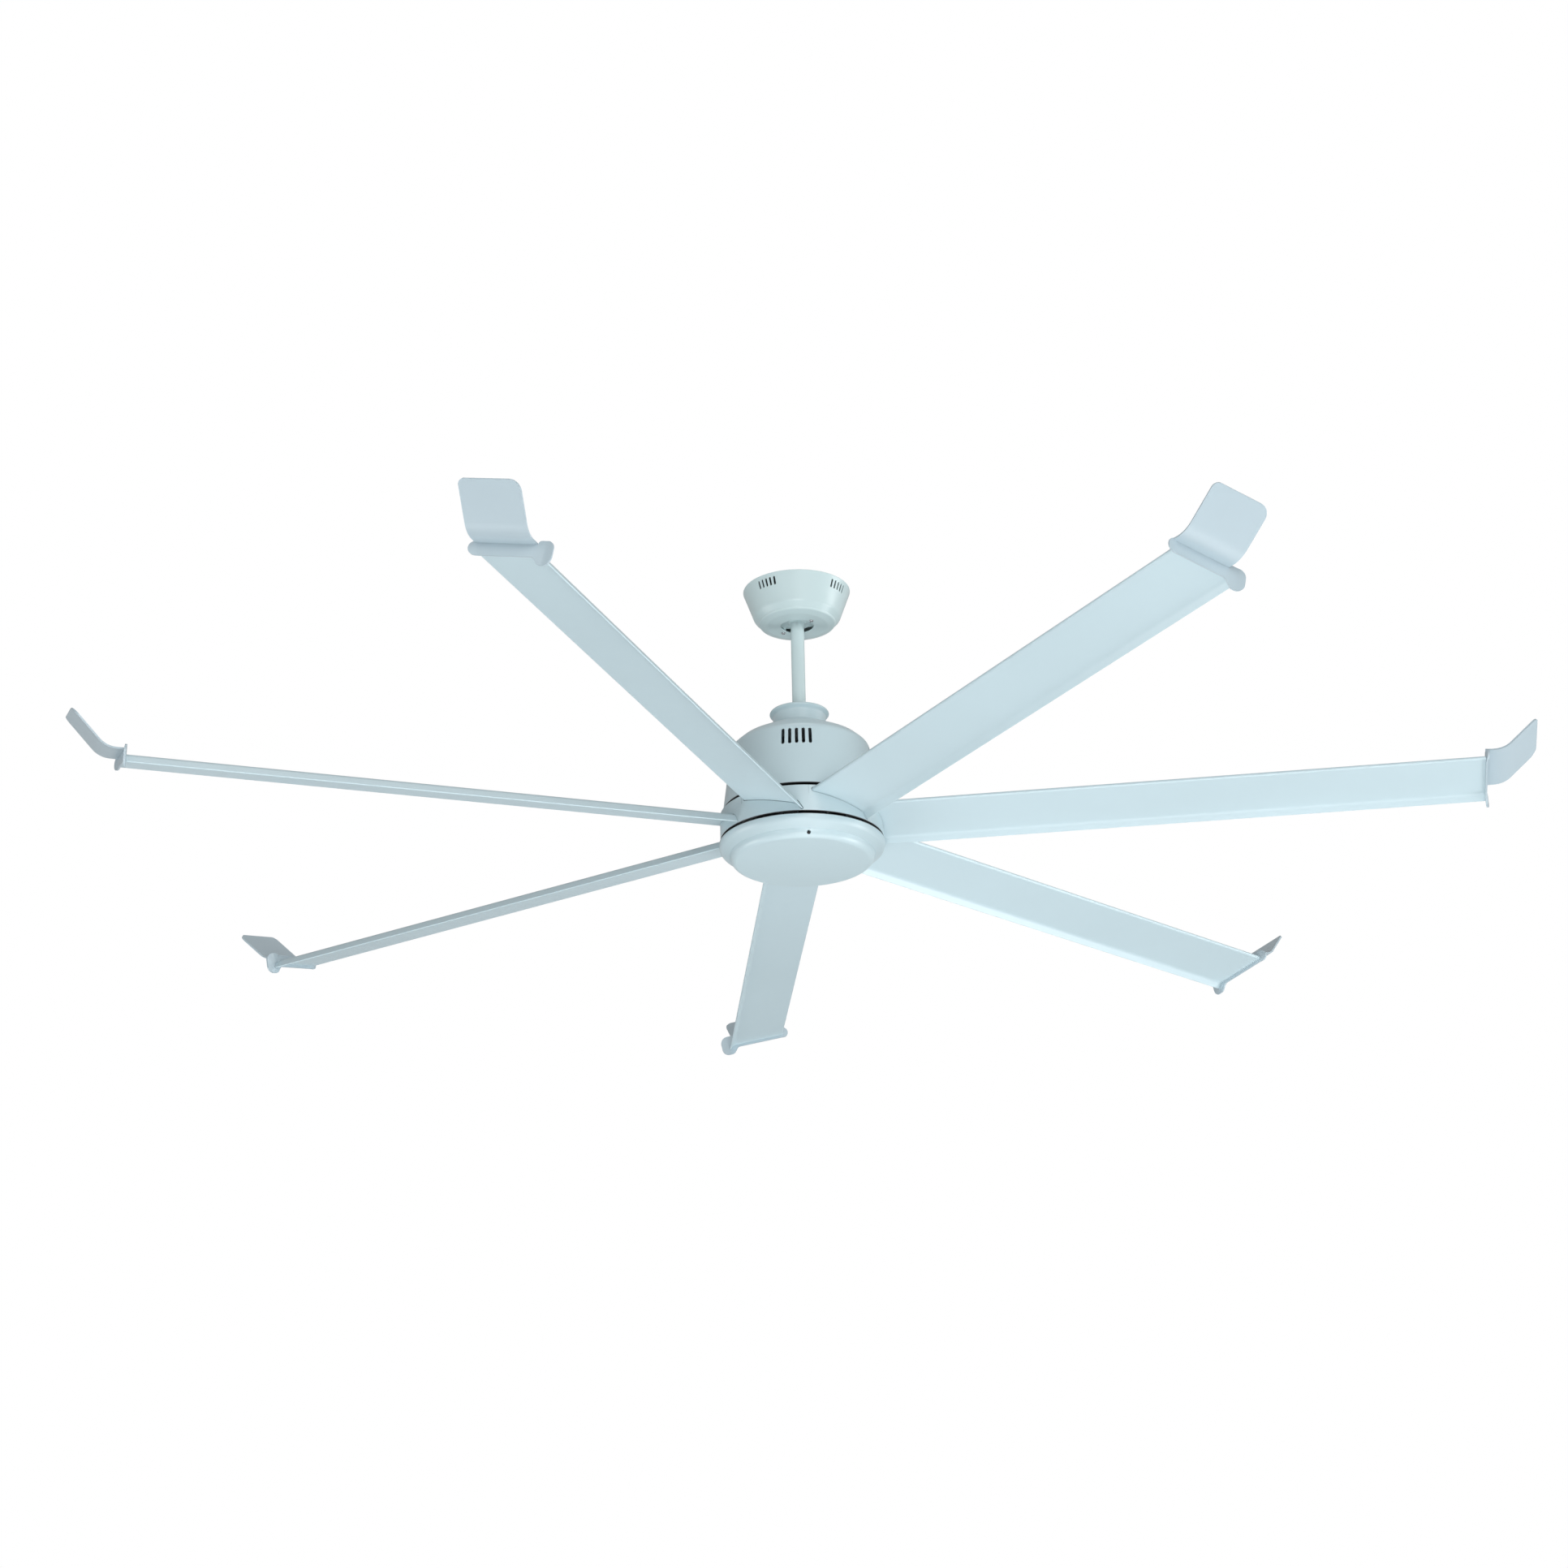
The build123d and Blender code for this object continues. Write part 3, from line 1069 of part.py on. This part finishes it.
def make_canopy():
    shoulder = CANOPY_SHOULDER_RADIUS
    shoulder_z = CANOPY_BOTTOM + CANOPY_SHOULDER_RISE
    crease = CANOPY_CREASE_RADIUS
    crease_z = CANOPY_BOTTOM + CANOPY_CREASE_RISE
    step = 3.2
    outer = [
        (CANOPY_RADIUS, CANOPY_TOP, 0.6),
        (shoulder, shoulder_z, 12),
        (crease, crease_z, 1.2),
        (crease - 0.9, crease_z - step, 3),
        (CANOPY_FLAT_RADIUS, CANOPY_BOTTOM, 12),
        (CANOPY_HOLE_RADIUS, CANOPY_BOTTOM, 0.6),
    ]
    inner = [
        (CANOPY_HOLE_RADIUS, CANOPY_BOTTOM + CANOPY_WALL, 0),
        (CANOPY_FLAT_RADIUS - 0.5, CANOPY_BOTTOM + CANOPY_WALL, 10),
        (crease - 2.4, crease_z - step + 1.6, 1.5),
        (crease - 1.6, crease_z + 1.0, 2.4),
        (shoulder - CANOPY_WALL, shoulder_z + 1.0, 10),
        (CANOPY_RADIUS - CANOPY_WALL, CANOPY_TOP, 0.3),
    ]
    canopy = turned(outer + inner)
    slot = SlotOverall(CANOPY_VENT_HEIGHT, CANOPY_VENT_WIDTH, rotation=90)
    cutter = prism_x(slot.face(), CANOPY_RADIUS * 0.8, CANOPY_RADIUS + 5)
    angle_step = math.degrees(CANOPY_VENT_PITCH / (CANOPY_RADIUS - 4.0))
    for group in range(VENT_GROUPS):
        for index in range(CANOPY_VENTS):
            angle = CANOPY_VENT_ANGLE + group * 360 / VENT_GROUPS + (index - (CANOPY_VENTS - 1) / 2) * angle_step
            canopy -= Rot(0, 0, angle) * Pos(0, 0, -CANOPY_VENT_DEPTH) * cutter
    for x, y in canopy_screw_spots():
        canopy -= Pos(x, y, 0) * rod(CANOPY_SCREW_SHANK, CANOPY_BOTTOM + 5, CANOPY_BOTTOM - 1)
    return canopy


def make_receiver():
    body = block(-30, 30, 30, 54, -BRACKET_THICKNESS - 20, -BRACKET_THICKNESS)
    body = fillet(body.edges().filter_by(Axis.Z), 3)
    socket = block(-20, -4, 27, 30, -BRACKET_THICKNESS - 14, -BRACKET_THICKNESS - 5)
    aerial = Pos(30, 42, -BRACKET_THICKNESS - 10) * Rot(0, 90, 0) * Cylinder(1.2, 24)
    return body + socket + aerial


def write_canopy():
    save("ceiling_bracket", make_bracket())
    save("canopy", make_canopy())
    save("receiver", make_receiver())
    length = LEG_BOTTOM - CANOPY_BOTTOM
    canopy_screw = Pos(0, 0, CANOPY_BOTTOM) * screw(CANOPY_SCREW_SHANK, length, 3.6, 2.2)
    save("canopy_screws", *[Pos(x, y, 0) * canopy_screw for x, y in canopy_screw_spots()])
    earth = Pos(0, -EARTH_OFFSET, -BRACKET_THICKNESS) * screw(2.0, BRACKET_THICKNESS, 4.0, 2.4)
    save("earth_screw", earth)


os.makedirs("parts", exist_ok=True)
write_blades()
write_rotor()
write_stator()
write_hanger()
write_housings()
write_canopy()
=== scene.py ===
import math

import bpy
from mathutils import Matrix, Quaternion, Vector

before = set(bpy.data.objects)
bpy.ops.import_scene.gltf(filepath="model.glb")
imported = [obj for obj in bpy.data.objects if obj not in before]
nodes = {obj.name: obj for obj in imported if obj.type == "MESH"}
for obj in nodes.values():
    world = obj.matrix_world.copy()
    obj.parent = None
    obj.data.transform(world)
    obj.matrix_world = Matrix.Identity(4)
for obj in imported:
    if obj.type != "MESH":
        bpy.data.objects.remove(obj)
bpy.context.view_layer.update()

# The paint, as linear colour
BODY_PAINT = (0.563, 0.706, 0.752)
CANOPY_PAINT = (0.610, 0.752, 0.768)
# A shaded copy of the body paint, a little darker, as painted shade on the blade ring and the bottom cover
COVER_SHADED_PAINT = (0.526, 0.662, 0.708)
BLADE_PAINT = (0.571, 0.715, 0.768)
# A darker copy of the blade paint, as painted shade on the winglets
TIP_SHADED_PAINT = (0.470, 0.577, 0.633)
# Near black: painted shade for the body's gaps and the inside of the canopy
PAINTED_SHADE_BLACK = (0.03, 0.032, 0.034)

# The paint's roughness and the depth of its orange peel, finer on the blades and their tips
BODY_ROUGH = 0.3
BODY_PEEL = 0.00002
BLADE_ROUGH = 0.34
BLADE_PEEL = 0.000003
RIPPLE_SHARE = 0.2

# The lines along a blade: marks a metre, depth and change of roughness
STREAK_SCALE = (1.5, 130, 130)
STREAK_DEPTH = 0.000004
STREAK_GLOSS = 0.012

# Painted shade: heights between which the bracket fades to black inside the canopy, and the black rims
# painted beside the two gaps of the body
SEAT_SHADE_FADE = (-0.042, -0.034)
RIM_SHADE_FADE = (0.0016, 0.001)

# One sheet of the core, and one turn of its wire
SHEET_PITCH = 0.0005
WIRE_PITCH = 0.0009

# The blades, as the CAD has them
BLADE_COUNT = 7
FIRST_BLADE_ANGLE = -59.5
HUB = Vector((0, 0, -0.4368))

# The camera, as the photograph was taken
IMAGE_SIZE = 1932
FOCAL_PIXELS = 4265
SENSOR = 36.0
FAR_CLIP = 60
CAMERA_DISTANCE = 5.81
CAMERA_ELEVATION = -21.8
CAMERA_BEARING = -90.4
CAMERA_ROLL = -1.3
HUB_PIXEL = (988, 1018.5)

# The floor, and its glow to the camera, which grows to white between two distances from the axis
FLOOR_COLOUR = (0.80, 0.81, 0.82)
FLOOR_Z = -4.2
FLOOR_HALF = 40.0
FLOOR_GLOW = (0.5, 1.0)
FLOOR_FADE = (4.0, 12.0)

# The soft light from all round: as it falls, as it is mirrored and as the camera sees it
SOFT_LEVEL = 0.24
MIRRORED_LEVEL = 0.45
BACKDROP_LEVEL = 1.0

# The lamps: bearing, height, distance and watts
LAMP_SIZE = 2.2
LAMPS = {
    "right_low": (0, -30, 5.0, 88),
    "left_low": (180, -30, 5.0, 56),
    "front_low": (-90, -30, 5.0, 68),
    "right": (0, 10, 5.0, 58),
    "front": (-75, 10, 5.0, 68),
    "left_front": (-120, 10, 5.0, 24),
    "top": (-90, 80, 5.0, 25),
    "under": (-60, -75, 2.95, 25),
}


class Graph:
    """A material's node tree, with a short call for each kind of node used here."""

    def __init__(self, name):
        self.material = bpy.data.materials.new(name)
        self.material.use_nodes = True
        self.tree = self.material.node_tree
        self.shader = self.tree.nodes["Principled BSDF"]
        self.place = self.add("ShaderNodeTexCoord").outputs["Object"]

    def add(self, kind, **inputs):
        node = self.tree.nodes.new(kind)
        for key, value in inputs.items():
            self.feed(node.inputs[key.replace("_", " ")], value)
        return node

    def feed(self, socket, value):
        if isinstance(value, bpy.types.NodeSocket):
            self.tree.links.new(value, socket)
        elif isinstance(value, tuple) and socket.type == "RGBA":
            socket.default_value = (*value[:3], 1.0)
        else:
            socket.default_value = value

    def mapped(self, rotation=(0, 0, 0), scale=(1, 1, 1), vector=None):
        node = self.add("ShaderNodeMapping", Vector=vector or self.place, Scale=scale)
        node.inputs["Rotation"].default_value = rotation
        return node.outputs["Vector"]

    def noise(self, scale, detail=2.0, roughness=0.5, vector=None):
        place = vector or self.place
        node = self.add("ShaderNodeTexNoise", Vector=place, Scale=scale, Detail=detail, Roughness=roughness)
        return node.outputs["Fac"]

    def cells(self, scale, vector=None, output="Distance"):
        node = self.add("ShaderNodeTexVoronoi", Vector=vector or self.place, Scale=scale)
        return node.outputs[output]

    def math(self, operation, first, second=0.0):
        node = self.add("ShaderNodeMath")
        node.operation = operation
        self.feed(node.inputs[0], first)
        self.feed(node.inputs[1], second)
        return node.outputs[0]

    def range(self, value, low, high, start=0.3, end=0.7):
        """The value's part between start and end, spread from low to high."""
        node = self.add("ShaderNodeMapRange", Value=value)
        for socket, number in zip(node.inputs[1:5], (start, end, low, high)):
            socket.default_value = number
        return node.outputs[0]

    def blend(self, amount, first, second):
        node = self.add("ShaderNodeMix")
        node.data_type = "RGBA"
        self.feed(node.inputs[0], amount)
        self.feed(node.inputs[6], first)
        self.feed(node.inputs[7], second)
        return node.outputs[2]

    def bump(self, height, distance, below=None):
        node = self.add("ShaderNodeBump", Height=height, Distance=distance, Strength=1.0)
        if below is not None:
            self.feed(node.inputs["Normal"], below)
        return node.outputs["Normal"]

    def split(self):
        return self.add("ShaderNodeSeparateXYZ", Vector=self.place).outputs

    def height(self):
        return self.split()[2]

    def from_axis(self):
        """The distance from the fan's axis."""
        x, y = self.split()[:2]
        square = self.math("ADD", self.math("MULTIPLY", x, x), self.math("MULTIPLY", y, y))
        return self.math("SQRT", square)

    def set(self, **inputs):
        for key, value in inputs.items():
            self.feed(self.shader.inputs[key.replace("_", " ")], value)
        return self.material


def shade(colour, factor):
    """The same colour, lighter or darker."""
    return tuple(min(1.0, part * factor) for part in colour)


def coated(name, colour, rough=BODY_ROUGH, peel=BODY_PEEL, streak_angle=None, painted_shade=None):
    """Powder coat: slow changes of tone and fine orange peel.

    A blade has lines along it at its own angle, and some pieces get painted shade, fading to black between
    two heights.
    """
    g = Graph(name)
    slow = g.range(g.noise(scale=2.2, detail=3), low=0, high=1)
    patch = g.range(g.noise(scale=19, detail=4, roughness=0.6), low=0, high=1)
    tone = g.blend(slow, shade(colour, 0.965), shade(colour, 1.02))
    tone = g.blend(g.math("MULTIPLY", patch, 0.12), tone, shade(colour, 0.94))
    fleck = g.range(g.cells(scale=700), low=1, high=0, start=0.05, end=0.16)
    tone = g.blend(g.math("MULTIPLY", fleck, 0.06), tone, shade(colour, 0.86))
    if painted_shade is not None:
        below, above = painted_shade
        # Painted shade: black fading in between the two heights
        tone = g.blend(g.range(g.height(), low=0, high=1, start=below, end=above), tone, PAINTED_SHADE_BLACK)
    gloss = g.range(g.noise(scale=45, detail=3, roughness=0.5), low=rough - 0.015, high=rough + 0.025)
    normal = g.bump(g.noise(scale=850, detail=2, roughness=0.45), distance=peel)
    ripple = g.noise(scale=160, detail=2, roughness=0.4)
    normal = g.bump(ripple, distance=peel * RIPPLE_SHARE, below=normal)
    if streak_angle is not None:
        along = g.mapped(rotation=(0, 0, -streak_angle))
        lines = g.noise(scale=1.0, detail=3, roughness=0.5, vector=g.mapped(scale=STREAK_SCALE, vector=along))
        normal = g.bump(lines, distance=STREAK_DEPTH, below=normal)
        gloss = g.math("ADD", gloss, g.range(lines, low=-STREAK_GLOSS, high=STREAK_GLOSS))
    return g.set(Base_Color=tone, Roughness=gloss, Normal=normal, Coat_Weight=0.2, Coat_Roughness=0.22)


def moulded(name, colour, rough):
    """Moulded plastic with a fine spark-eroded grain and faint flow marks."""
    g = Graph(name)
    flow = g.range(g.noise(scale=7, detail=4, roughness=0.6), low=0, high=1)
    tone = g.blend(flow, shade(colour, 0.96), shade(colour, 1.03))
    gloss = g.range(g.noise(scale=60, detail=4, roughness=0.6), low=rough - 0.04, high=rough + 0.05)
    normal = g.bump(g.noise(scale=1500, detail=3, roughness=0.6), distance=0.00009)
    return g.set(Base_Color=tone, Roughness=gloss, Normal=normal)


def plated(name, colour, rough=0.34):
    """Zinc plated sheet: spangled crystals, fine rolling lines and a few dull patches."""
    g = Graph(name)
    crystal = g.range(g.cells(scale=120, output="Color"), low=0, high=1, start=0.2, end=0.8)
    tone = g.blend(crystal, shade(colour, 0.86), shade(colour, 1.08))
    dull = g.range(g.noise(scale=14, detail=5, roughness=0.65), low=0, high=1, start=0.5, end=0.75)
    tone = g.blend(g.math("MULTIPLY", dull, 0.3), tone, shade(colour, 0.7))
    gloss = g.range(g.noise(scale=90, detail=4, roughness=0.6), low=rough - 0.08, high=rough + 0.12)
    lines = g.noise(scale=1.0, detail=2, roughness=0.5, vector=g.mapped(scale=(900, 40, 900)))
    normal = g.bump(lines, distance=0.00003)
    return g.set(Base_Color=tone, Roughness=gloss, Normal=normal, Metallic=1.0)


def cast(name, colour, rough=0.5):
    """Cast metal: a pebbled skin with darker pores."""
    g = Graph(name)
    pores = g.range(g.cells(scale=420), low=0, high=1, start=0.1, end=0.45)
    tone = g.blend(pores, shade(colour, 0.8), colour)
    gloss = g.range(g.noise(scale=120, detail=4, roughness=0.6), low=rough - 0.06, high=rough + 0.1)
    normal = g.bump(g.noise(scale=520, detail=4, roughness=0.6), distance=0.0003)
    return g.set(Base_Color=tone, Roughness=gloss, Normal=normal, Metallic=1.0)


def machined(name, colour, rough=0.24):
    """Turned or ground steel: tool marks around the part and a faint oil film."""
    g = Graph(name)
    marks = g.noise(scale=1.0, detail=2, roughness=0.5, vector=g.mapped(scale=(30, 30, 1800)))
    film = g.range(g.noise(scale=30, detail=4, roughness=0.6), low=0, high=1)
    tone = g.blend(film, shade(colour, 0.9), shade(colour, 1.05))
    gloss = g.range(g.noise(scale=200, detail=3, roughness=0.6), low=rough - 0.05, high=rough + 0.1)
    normal = g.bump(marks, distance=0.00003)
    return g.set(Base_Color=tone, Roughness=gloss, Normal=normal, Metallic=1.0)


def laminated(name, colour):
    """Stacked core sheets: a line for each sheet up the stack, with a trace of rust."""
    g = Graph(name)
    lines = g.math("SINE", g.math("MULTIPLY", g.height(), math.tau / SHEET_PITCH))
    edge = g.range(lines, low=0, high=1, start=-1, end=1)
    tone = g.blend(edge, shade(colour, 0.55), shade(colour, 1.15))
    rust = g.range(g.noise(scale=80, detail=5, roughness=0.6), low=0, high=0.25, start=0.5, end=0.8)
    tone = g.blend(rust, tone, (0.16, 0.09, 0.05))
    normal = g.bump(lines, distance=0.00008)
    return g.set(Base_Color=tone, Roughness=0.45, Normal=normal, Metallic=0.9)


def wound(name, colour):
    """Enamelled wire laid side by side: a ridge for every turn, counted outwards from the axis, with painted
    shade in the grooves between turns.
    """
    g = Graph(name)
    turns = g.math("SINE", g.math("MULTIPLY", g.from_axis(), math.tau / WIRE_PITCH))
    # Painted shade: the colour falls much darker in the grooves between turns
    groove_shade_mask = g.range(turns, low=0, high=1, start=-1, end=0.6)
    tone = g.blend(groove_shade_mask, shade(colour, 0.35), colour)
    sheen = g.range(g.noise(scale=300, detail=3), low=0, high=0.3)
    tone = g.blend(sheen, tone, shade(colour, 1.3))
    normal = g.bump(turns, distance=0.0004)
    return g.set(Base_Color=tone, Roughness=0.3, Normal=normal, Metallic=0.85, Coat_Weight=0.4)


def circuit(name, mask, copper):
    """A circuit board: solder mask over a maze of tracks, with plated holes."""
    g = Graph(name)
    grid = g.mapped(scale=(160, 160, 0))
    tracks = g.range(g.cells(scale=1.0, vector=grid, output="Color"), low=0, high=1, start=0.45, end=0.55)
    tone = g.blend(tracks, shade(mask, 0.8), shade(mask, 1.35))
    holes = g.range(g.cells(scale=1.2, vector=grid), low=1, high=0, start=0.06, end=0.09)
    tone = g.blend(holes, tone, copper)
    normal = g.bump(tracks, distance=0.00005)
    return g.set(Base_Color=tone, Roughness=0.32, Normal=normal)


def rubber(name, colour):
    """Rubber with a dusty bloom and a soft grain."""
    g = Graph(name)
    bloom = g.range(g.noise(scale=40, detail=4, roughness=0.6), low=0, high=0.4)
    tone = g.blend(bloom, colour, shade(colour, 1.5))
    normal = g.bump(g.noise(scale=700, detail=3, roughness=0.6), distance=0.0001)
    return g.set(Base_Color=tone, Roughness=0.62, Normal=normal, Specular_IOR_Level=0.35)


def dress(material, *names):
    """Give CAD nodes a material."""
    for name in names:
        mesh = nodes[name].data
        mesh.materials.clear()
        mesh.materials.append(material)


def heights(name):
    """The lowest and the highest point of a CAD node."""
    levels = [vertex.co.z for vertex in nodes[name].data.vertices]
    return min(levels), max(levels)


def dress_body():
    """The painted pieces of the middle, with black rims of painted shade where the housing, ring and cover
    face each other.
    """
    body = coated("body_paint", BODY_PAINT)
    # The blade ring takes the shaded copy of the body paint, as painted shade
    for name, colour in (("motor_housing", BODY_PAINT), ("blade_ring", COVER_SHADED_PAINT)):
        # Painted shade: black along the bottom edge of the housing and of the ring, beside the gaps
        shade_fade = tuple(heights(name)[0] + step for step in RIM_SHADE_FADE)
        dress(coated(f"{name}_paint", colour, painted_shade=shade_fade), name)
    # Painted shade: black along the top edge of the bottom cover, beside the lower gap
    shade_fade = tuple(heights("bottom_cover")[1] - step for step in RIM_SHADE_FADE)
    # The bottom cover also takes the shaded copy of the body paint, as painted shade
    dress(coated("bottom_cover_shaded_paint", COVER_SHADED_PAINT, painted_shade=shade_fade), "bottom_cover")
    dress(coated("canopy_paint", CANOPY_PAINT), "canopy", "downrod", "hanger_ball")
    # Painted shade: the bracket turns black inside the canopy, so the vents and the opening round the rod
    # look shaded
    dress(coated("bracket_shaded_paint", CANOPY_PAINT, painted_shade=SEAT_SHADE_FADE), "ceiling_bracket")
    dress(body, "coupling_cover", "bottom_cap")


def dress_blades():
    # The winglets take the darker copy of the blade paint, as painted shade
    tip = coated("tip_shaded_paint", TIP_SHADED_PAINT, BLADE_ROUGH, BLADE_PEEL)
    for index in range(BLADE_COUNT):
        angle = math.radians(FIRST_BLADE_ANGLE + index * 360 / BLADE_COUNT)
        paint = coated(f"blade_paint_{index + 1}", BLADE_PAINT, BLADE_ROUGH, BLADE_PEEL, streak_angle=angle)
        dress(paint, f"blade_{index + 1}")
        dress(tip, f"tip_winglet_{index + 1}")


def dress_inside():
    """Motor, electronics and fasteners."""
    dress(plated("zinc_sheet", (0.60, 0.61, 0.62)), "blade_clamps")
    # Near black, as painted shade: carrier, lower plate and rotor shell are seen only through the body's gaps
    dress(moulded("gap_shade_black", (0.022, 0.022, 0.024), 0.42), "blade_carrier", "lower_plate", "rotor_shell")
    dress(cast("cast_aluminium", (0.55, 0.56, 0.57)), "yoke", "stator_hub")
    dress(
        machined("screw_steel", (0.55, 0.56, 0.58)),
        "canopy_screws", "ring_screws", "rotor_screws", "blade_screws", "tip_screws", "housing_screws",
        "cover_screws", "ball_pin", "ball_set_screw", "yoke_pin", "yoke_clip",
        "yoke_set_screws", "shaft_nut", "shaft_washer",
    )
    dress(machined("black_steel", (0.035, 0.036, 0.038), 0.4), "cap_screws")
    dress(machined("shaft_steel", (0.48, 0.48, 0.49), 0.2), "motor_shaft", "shaft_spacers")
    dress(
        machined("bearing_steel", (0.68, 0.68, 0.69), 0.12),
        "bearing_inner_races", "bearing_outer_races", "bearing_balls",
    )
    dress(machined("brass", (0.62, 0.42, 0.16), 0.3), "earth_screw")
    dress(laminated("core_sheets", (0.26, 0.26, 0.28)), "stator_core")
    dress(wound("copper_windings", (0.62, 0.24, 0.09)), "stator_windings")
    dress(cast("magnet", (0.13, 0.13, 0.14), 0.35), "rotor_magnets")
    dress(circuit("circuit_board", (0.02, 0.12, 0.05), (0.55, 0.38, 0.14)), "control_board")
    dress(moulded("dark_plastic", (0.02, 0.02, 0.022), 0.45), "board_components", "receiver")
    dress(moulded("white_plastic", (0.68, 0.68, 0.64), 0.4), "lead_connector")
    dress(rubber("cable_sheath", (0.02, 0.02, 0.021)), "motor_leads")
    dress(rubber("grey_rubber", (0.36, 0.42, 0.44)), "rod_grommet", "cap_seal")


def direction(bearing, height):
    """The way out from the hub, by its bearing and its angle above the level."""
    turn = math.radians(bearing)
    lift = math.radians(height)
    return Vector((math.cos(turn) * math.cos(lift), math.sin(turn) * math.cos(lift), math.sin(lift)))


def add_camera():
    """The photograph's camera: the hub lands on its own pixel of the image."""
    data = bpy.data.cameras.new("camera")
    data.lens = FOCAL_PIXELS * SENSOR / IMAGE_SIZE
    data.sensor_width = SENSOR
    data.clip_end = FAR_CLIP
    camera = bpy.data.objects.new("camera", data)
    bpy.context.scene.collection.objects.link(camera)
    away = direction(CAMERA_BEARING, CAMERA_ELEVATION)
    camera.location = HUB + away * CAMERA_DISTANCE
    towards = -away
    level = towards.to_track_quat("-Z", "Y")
    roll = Quaternion((0, 0, 1), math.radians(CAMERA_ROLL))
    centre = IMAGE_SIZE / 2
    seen = Vector((HUB_PIXEL[0] - centre, centre - HUB_PIXEL[1], -FOCAL_PIXELS)).normalized()
    aim = seen.rotation_difference(Vector((0, 0, -1)))
    camera.rotation_mode = "QUATERNION"
    camera.rotation_quaternion = level @ roll @ aim
    bpy.context.scene.camera = camera


def add_floor():
    """A pale floor below the fan, white far out, and clear from its underside for a low camera."""
    mesh = bpy.data.meshes.new("floor")
    half = FLOOR_HALF
    corners = [(-half, -half, FLOOR_Z), (half, -half, FLOOR_Z), (half, half, FLOOR_Z), (-half, half, FLOOR_Z)]
    mesh.from_pydata(corners, [], [(0, 1, 2, 3)])
    floor = bpy.data.objects.new("floor", mesh)
    bpy.context.scene.collection.objects.link(floor)
    g = Graph("floor")
    g.set(Base_Color=FLOOR_COLOUR, Roughness=0.9, Specular_IOR_Level=0.1)
    seen = g.add("ShaderNodeLightPath").outputs["Is Camera Ray"]
    glow = g.range(g.from_axis(), *FLOOR_GLOW, *FLOOR_FADE)
    g.set(Emission_Color=(1, 1, 1), Emission_Strength=g.math("MULTIPLY", seen, glow))
    clear = g.add("ShaderNodeBsdfTransparent").outputs[0]
    mix = g.add("ShaderNodeMixShader")
    g.feed(mix.inputs[0], g.add("ShaderNodeNewGeometry").outputs["Backfacing"])
    g.feed(mix.inputs[1], g.shader.outputs[0])
    g.feed(mix.inputs[2], clear)
    g.feed(g.tree.nodes["Material Output"].inputs["Surface"], mix.outputs[0])
    mesh.materials.append(g.material)


def add_world():
    """White behind the fan, and a soft light from all round, a little brighter where it is mirrored."""
    world = bpy.data.worlds.new("studio")
    bpy.context.scene.world = world
    world.use_nodes = True
    tree = world.node_tree
    tree.nodes.clear()

    def glow(level):
        node = tree.nodes.new("ShaderNodeBackground")
        node.inputs["Color"].default_value = (1, 1, 1, 1)
        node.inputs["Strength"].default_value = level
        return node.outputs[0]

    def mix(amount, first, second):
        node = tree.nodes.new("ShaderNodeMixShader")
        for socket, source in zip(node.inputs, (amount, first, second)):
            tree.links.new(source, socket)
        return node.outputs[0]

    ray = tree.nodes.new("ShaderNodeLightPath").outputs
    seen = tree.nodes.new("ShaderNodeMath")
    seen.operation = "MAXIMUM"
    tree.links.new(ray["Is Camera Ray"], seen.inputs[0])
    tree.links.new(ray["Is Transmission Ray"], seen.inputs[1])
    light = mix(ray["Is Glossy Ray"], glow(SOFT_LEVEL), glow(MIRRORED_LEVEL))
    surroundings = mix(seen.outputs[0], light, glow(BACKDROP_LEVEL))
    out = tree.nodes.new("ShaderNodeOutputWorld")
    tree.links.new(surroundings, out.inputs["Surface"])


def add_lamps():
    """Square soft lamps round the fan, each turned to its hub."""
    for name, (bearing, height, distance, watts) in LAMPS.items():
        away = direction(bearing, height)
        data = bpy.data.lights.new(name, "AREA")
        data.size = LAMP_SIZE
        data.energy = watts
        lamp = bpy.data.objects.new(name, data)
        lamp.location = HUB + away * distance
        lamp.rotation_mode = "QUATERNION"
        lamp.rotation_quaternion = (-away).to_track_quat("-Z", "Y")
        lamp.visible_camera = False
        bpy.context.scene.collection.objects.link(lamp)


dress_body()
dress_blades()
dress_inside()
add_camera()
add_floor()
add_world()
add_lamps()
bpy.context.scene.view_settings.view_transform = "Standard"
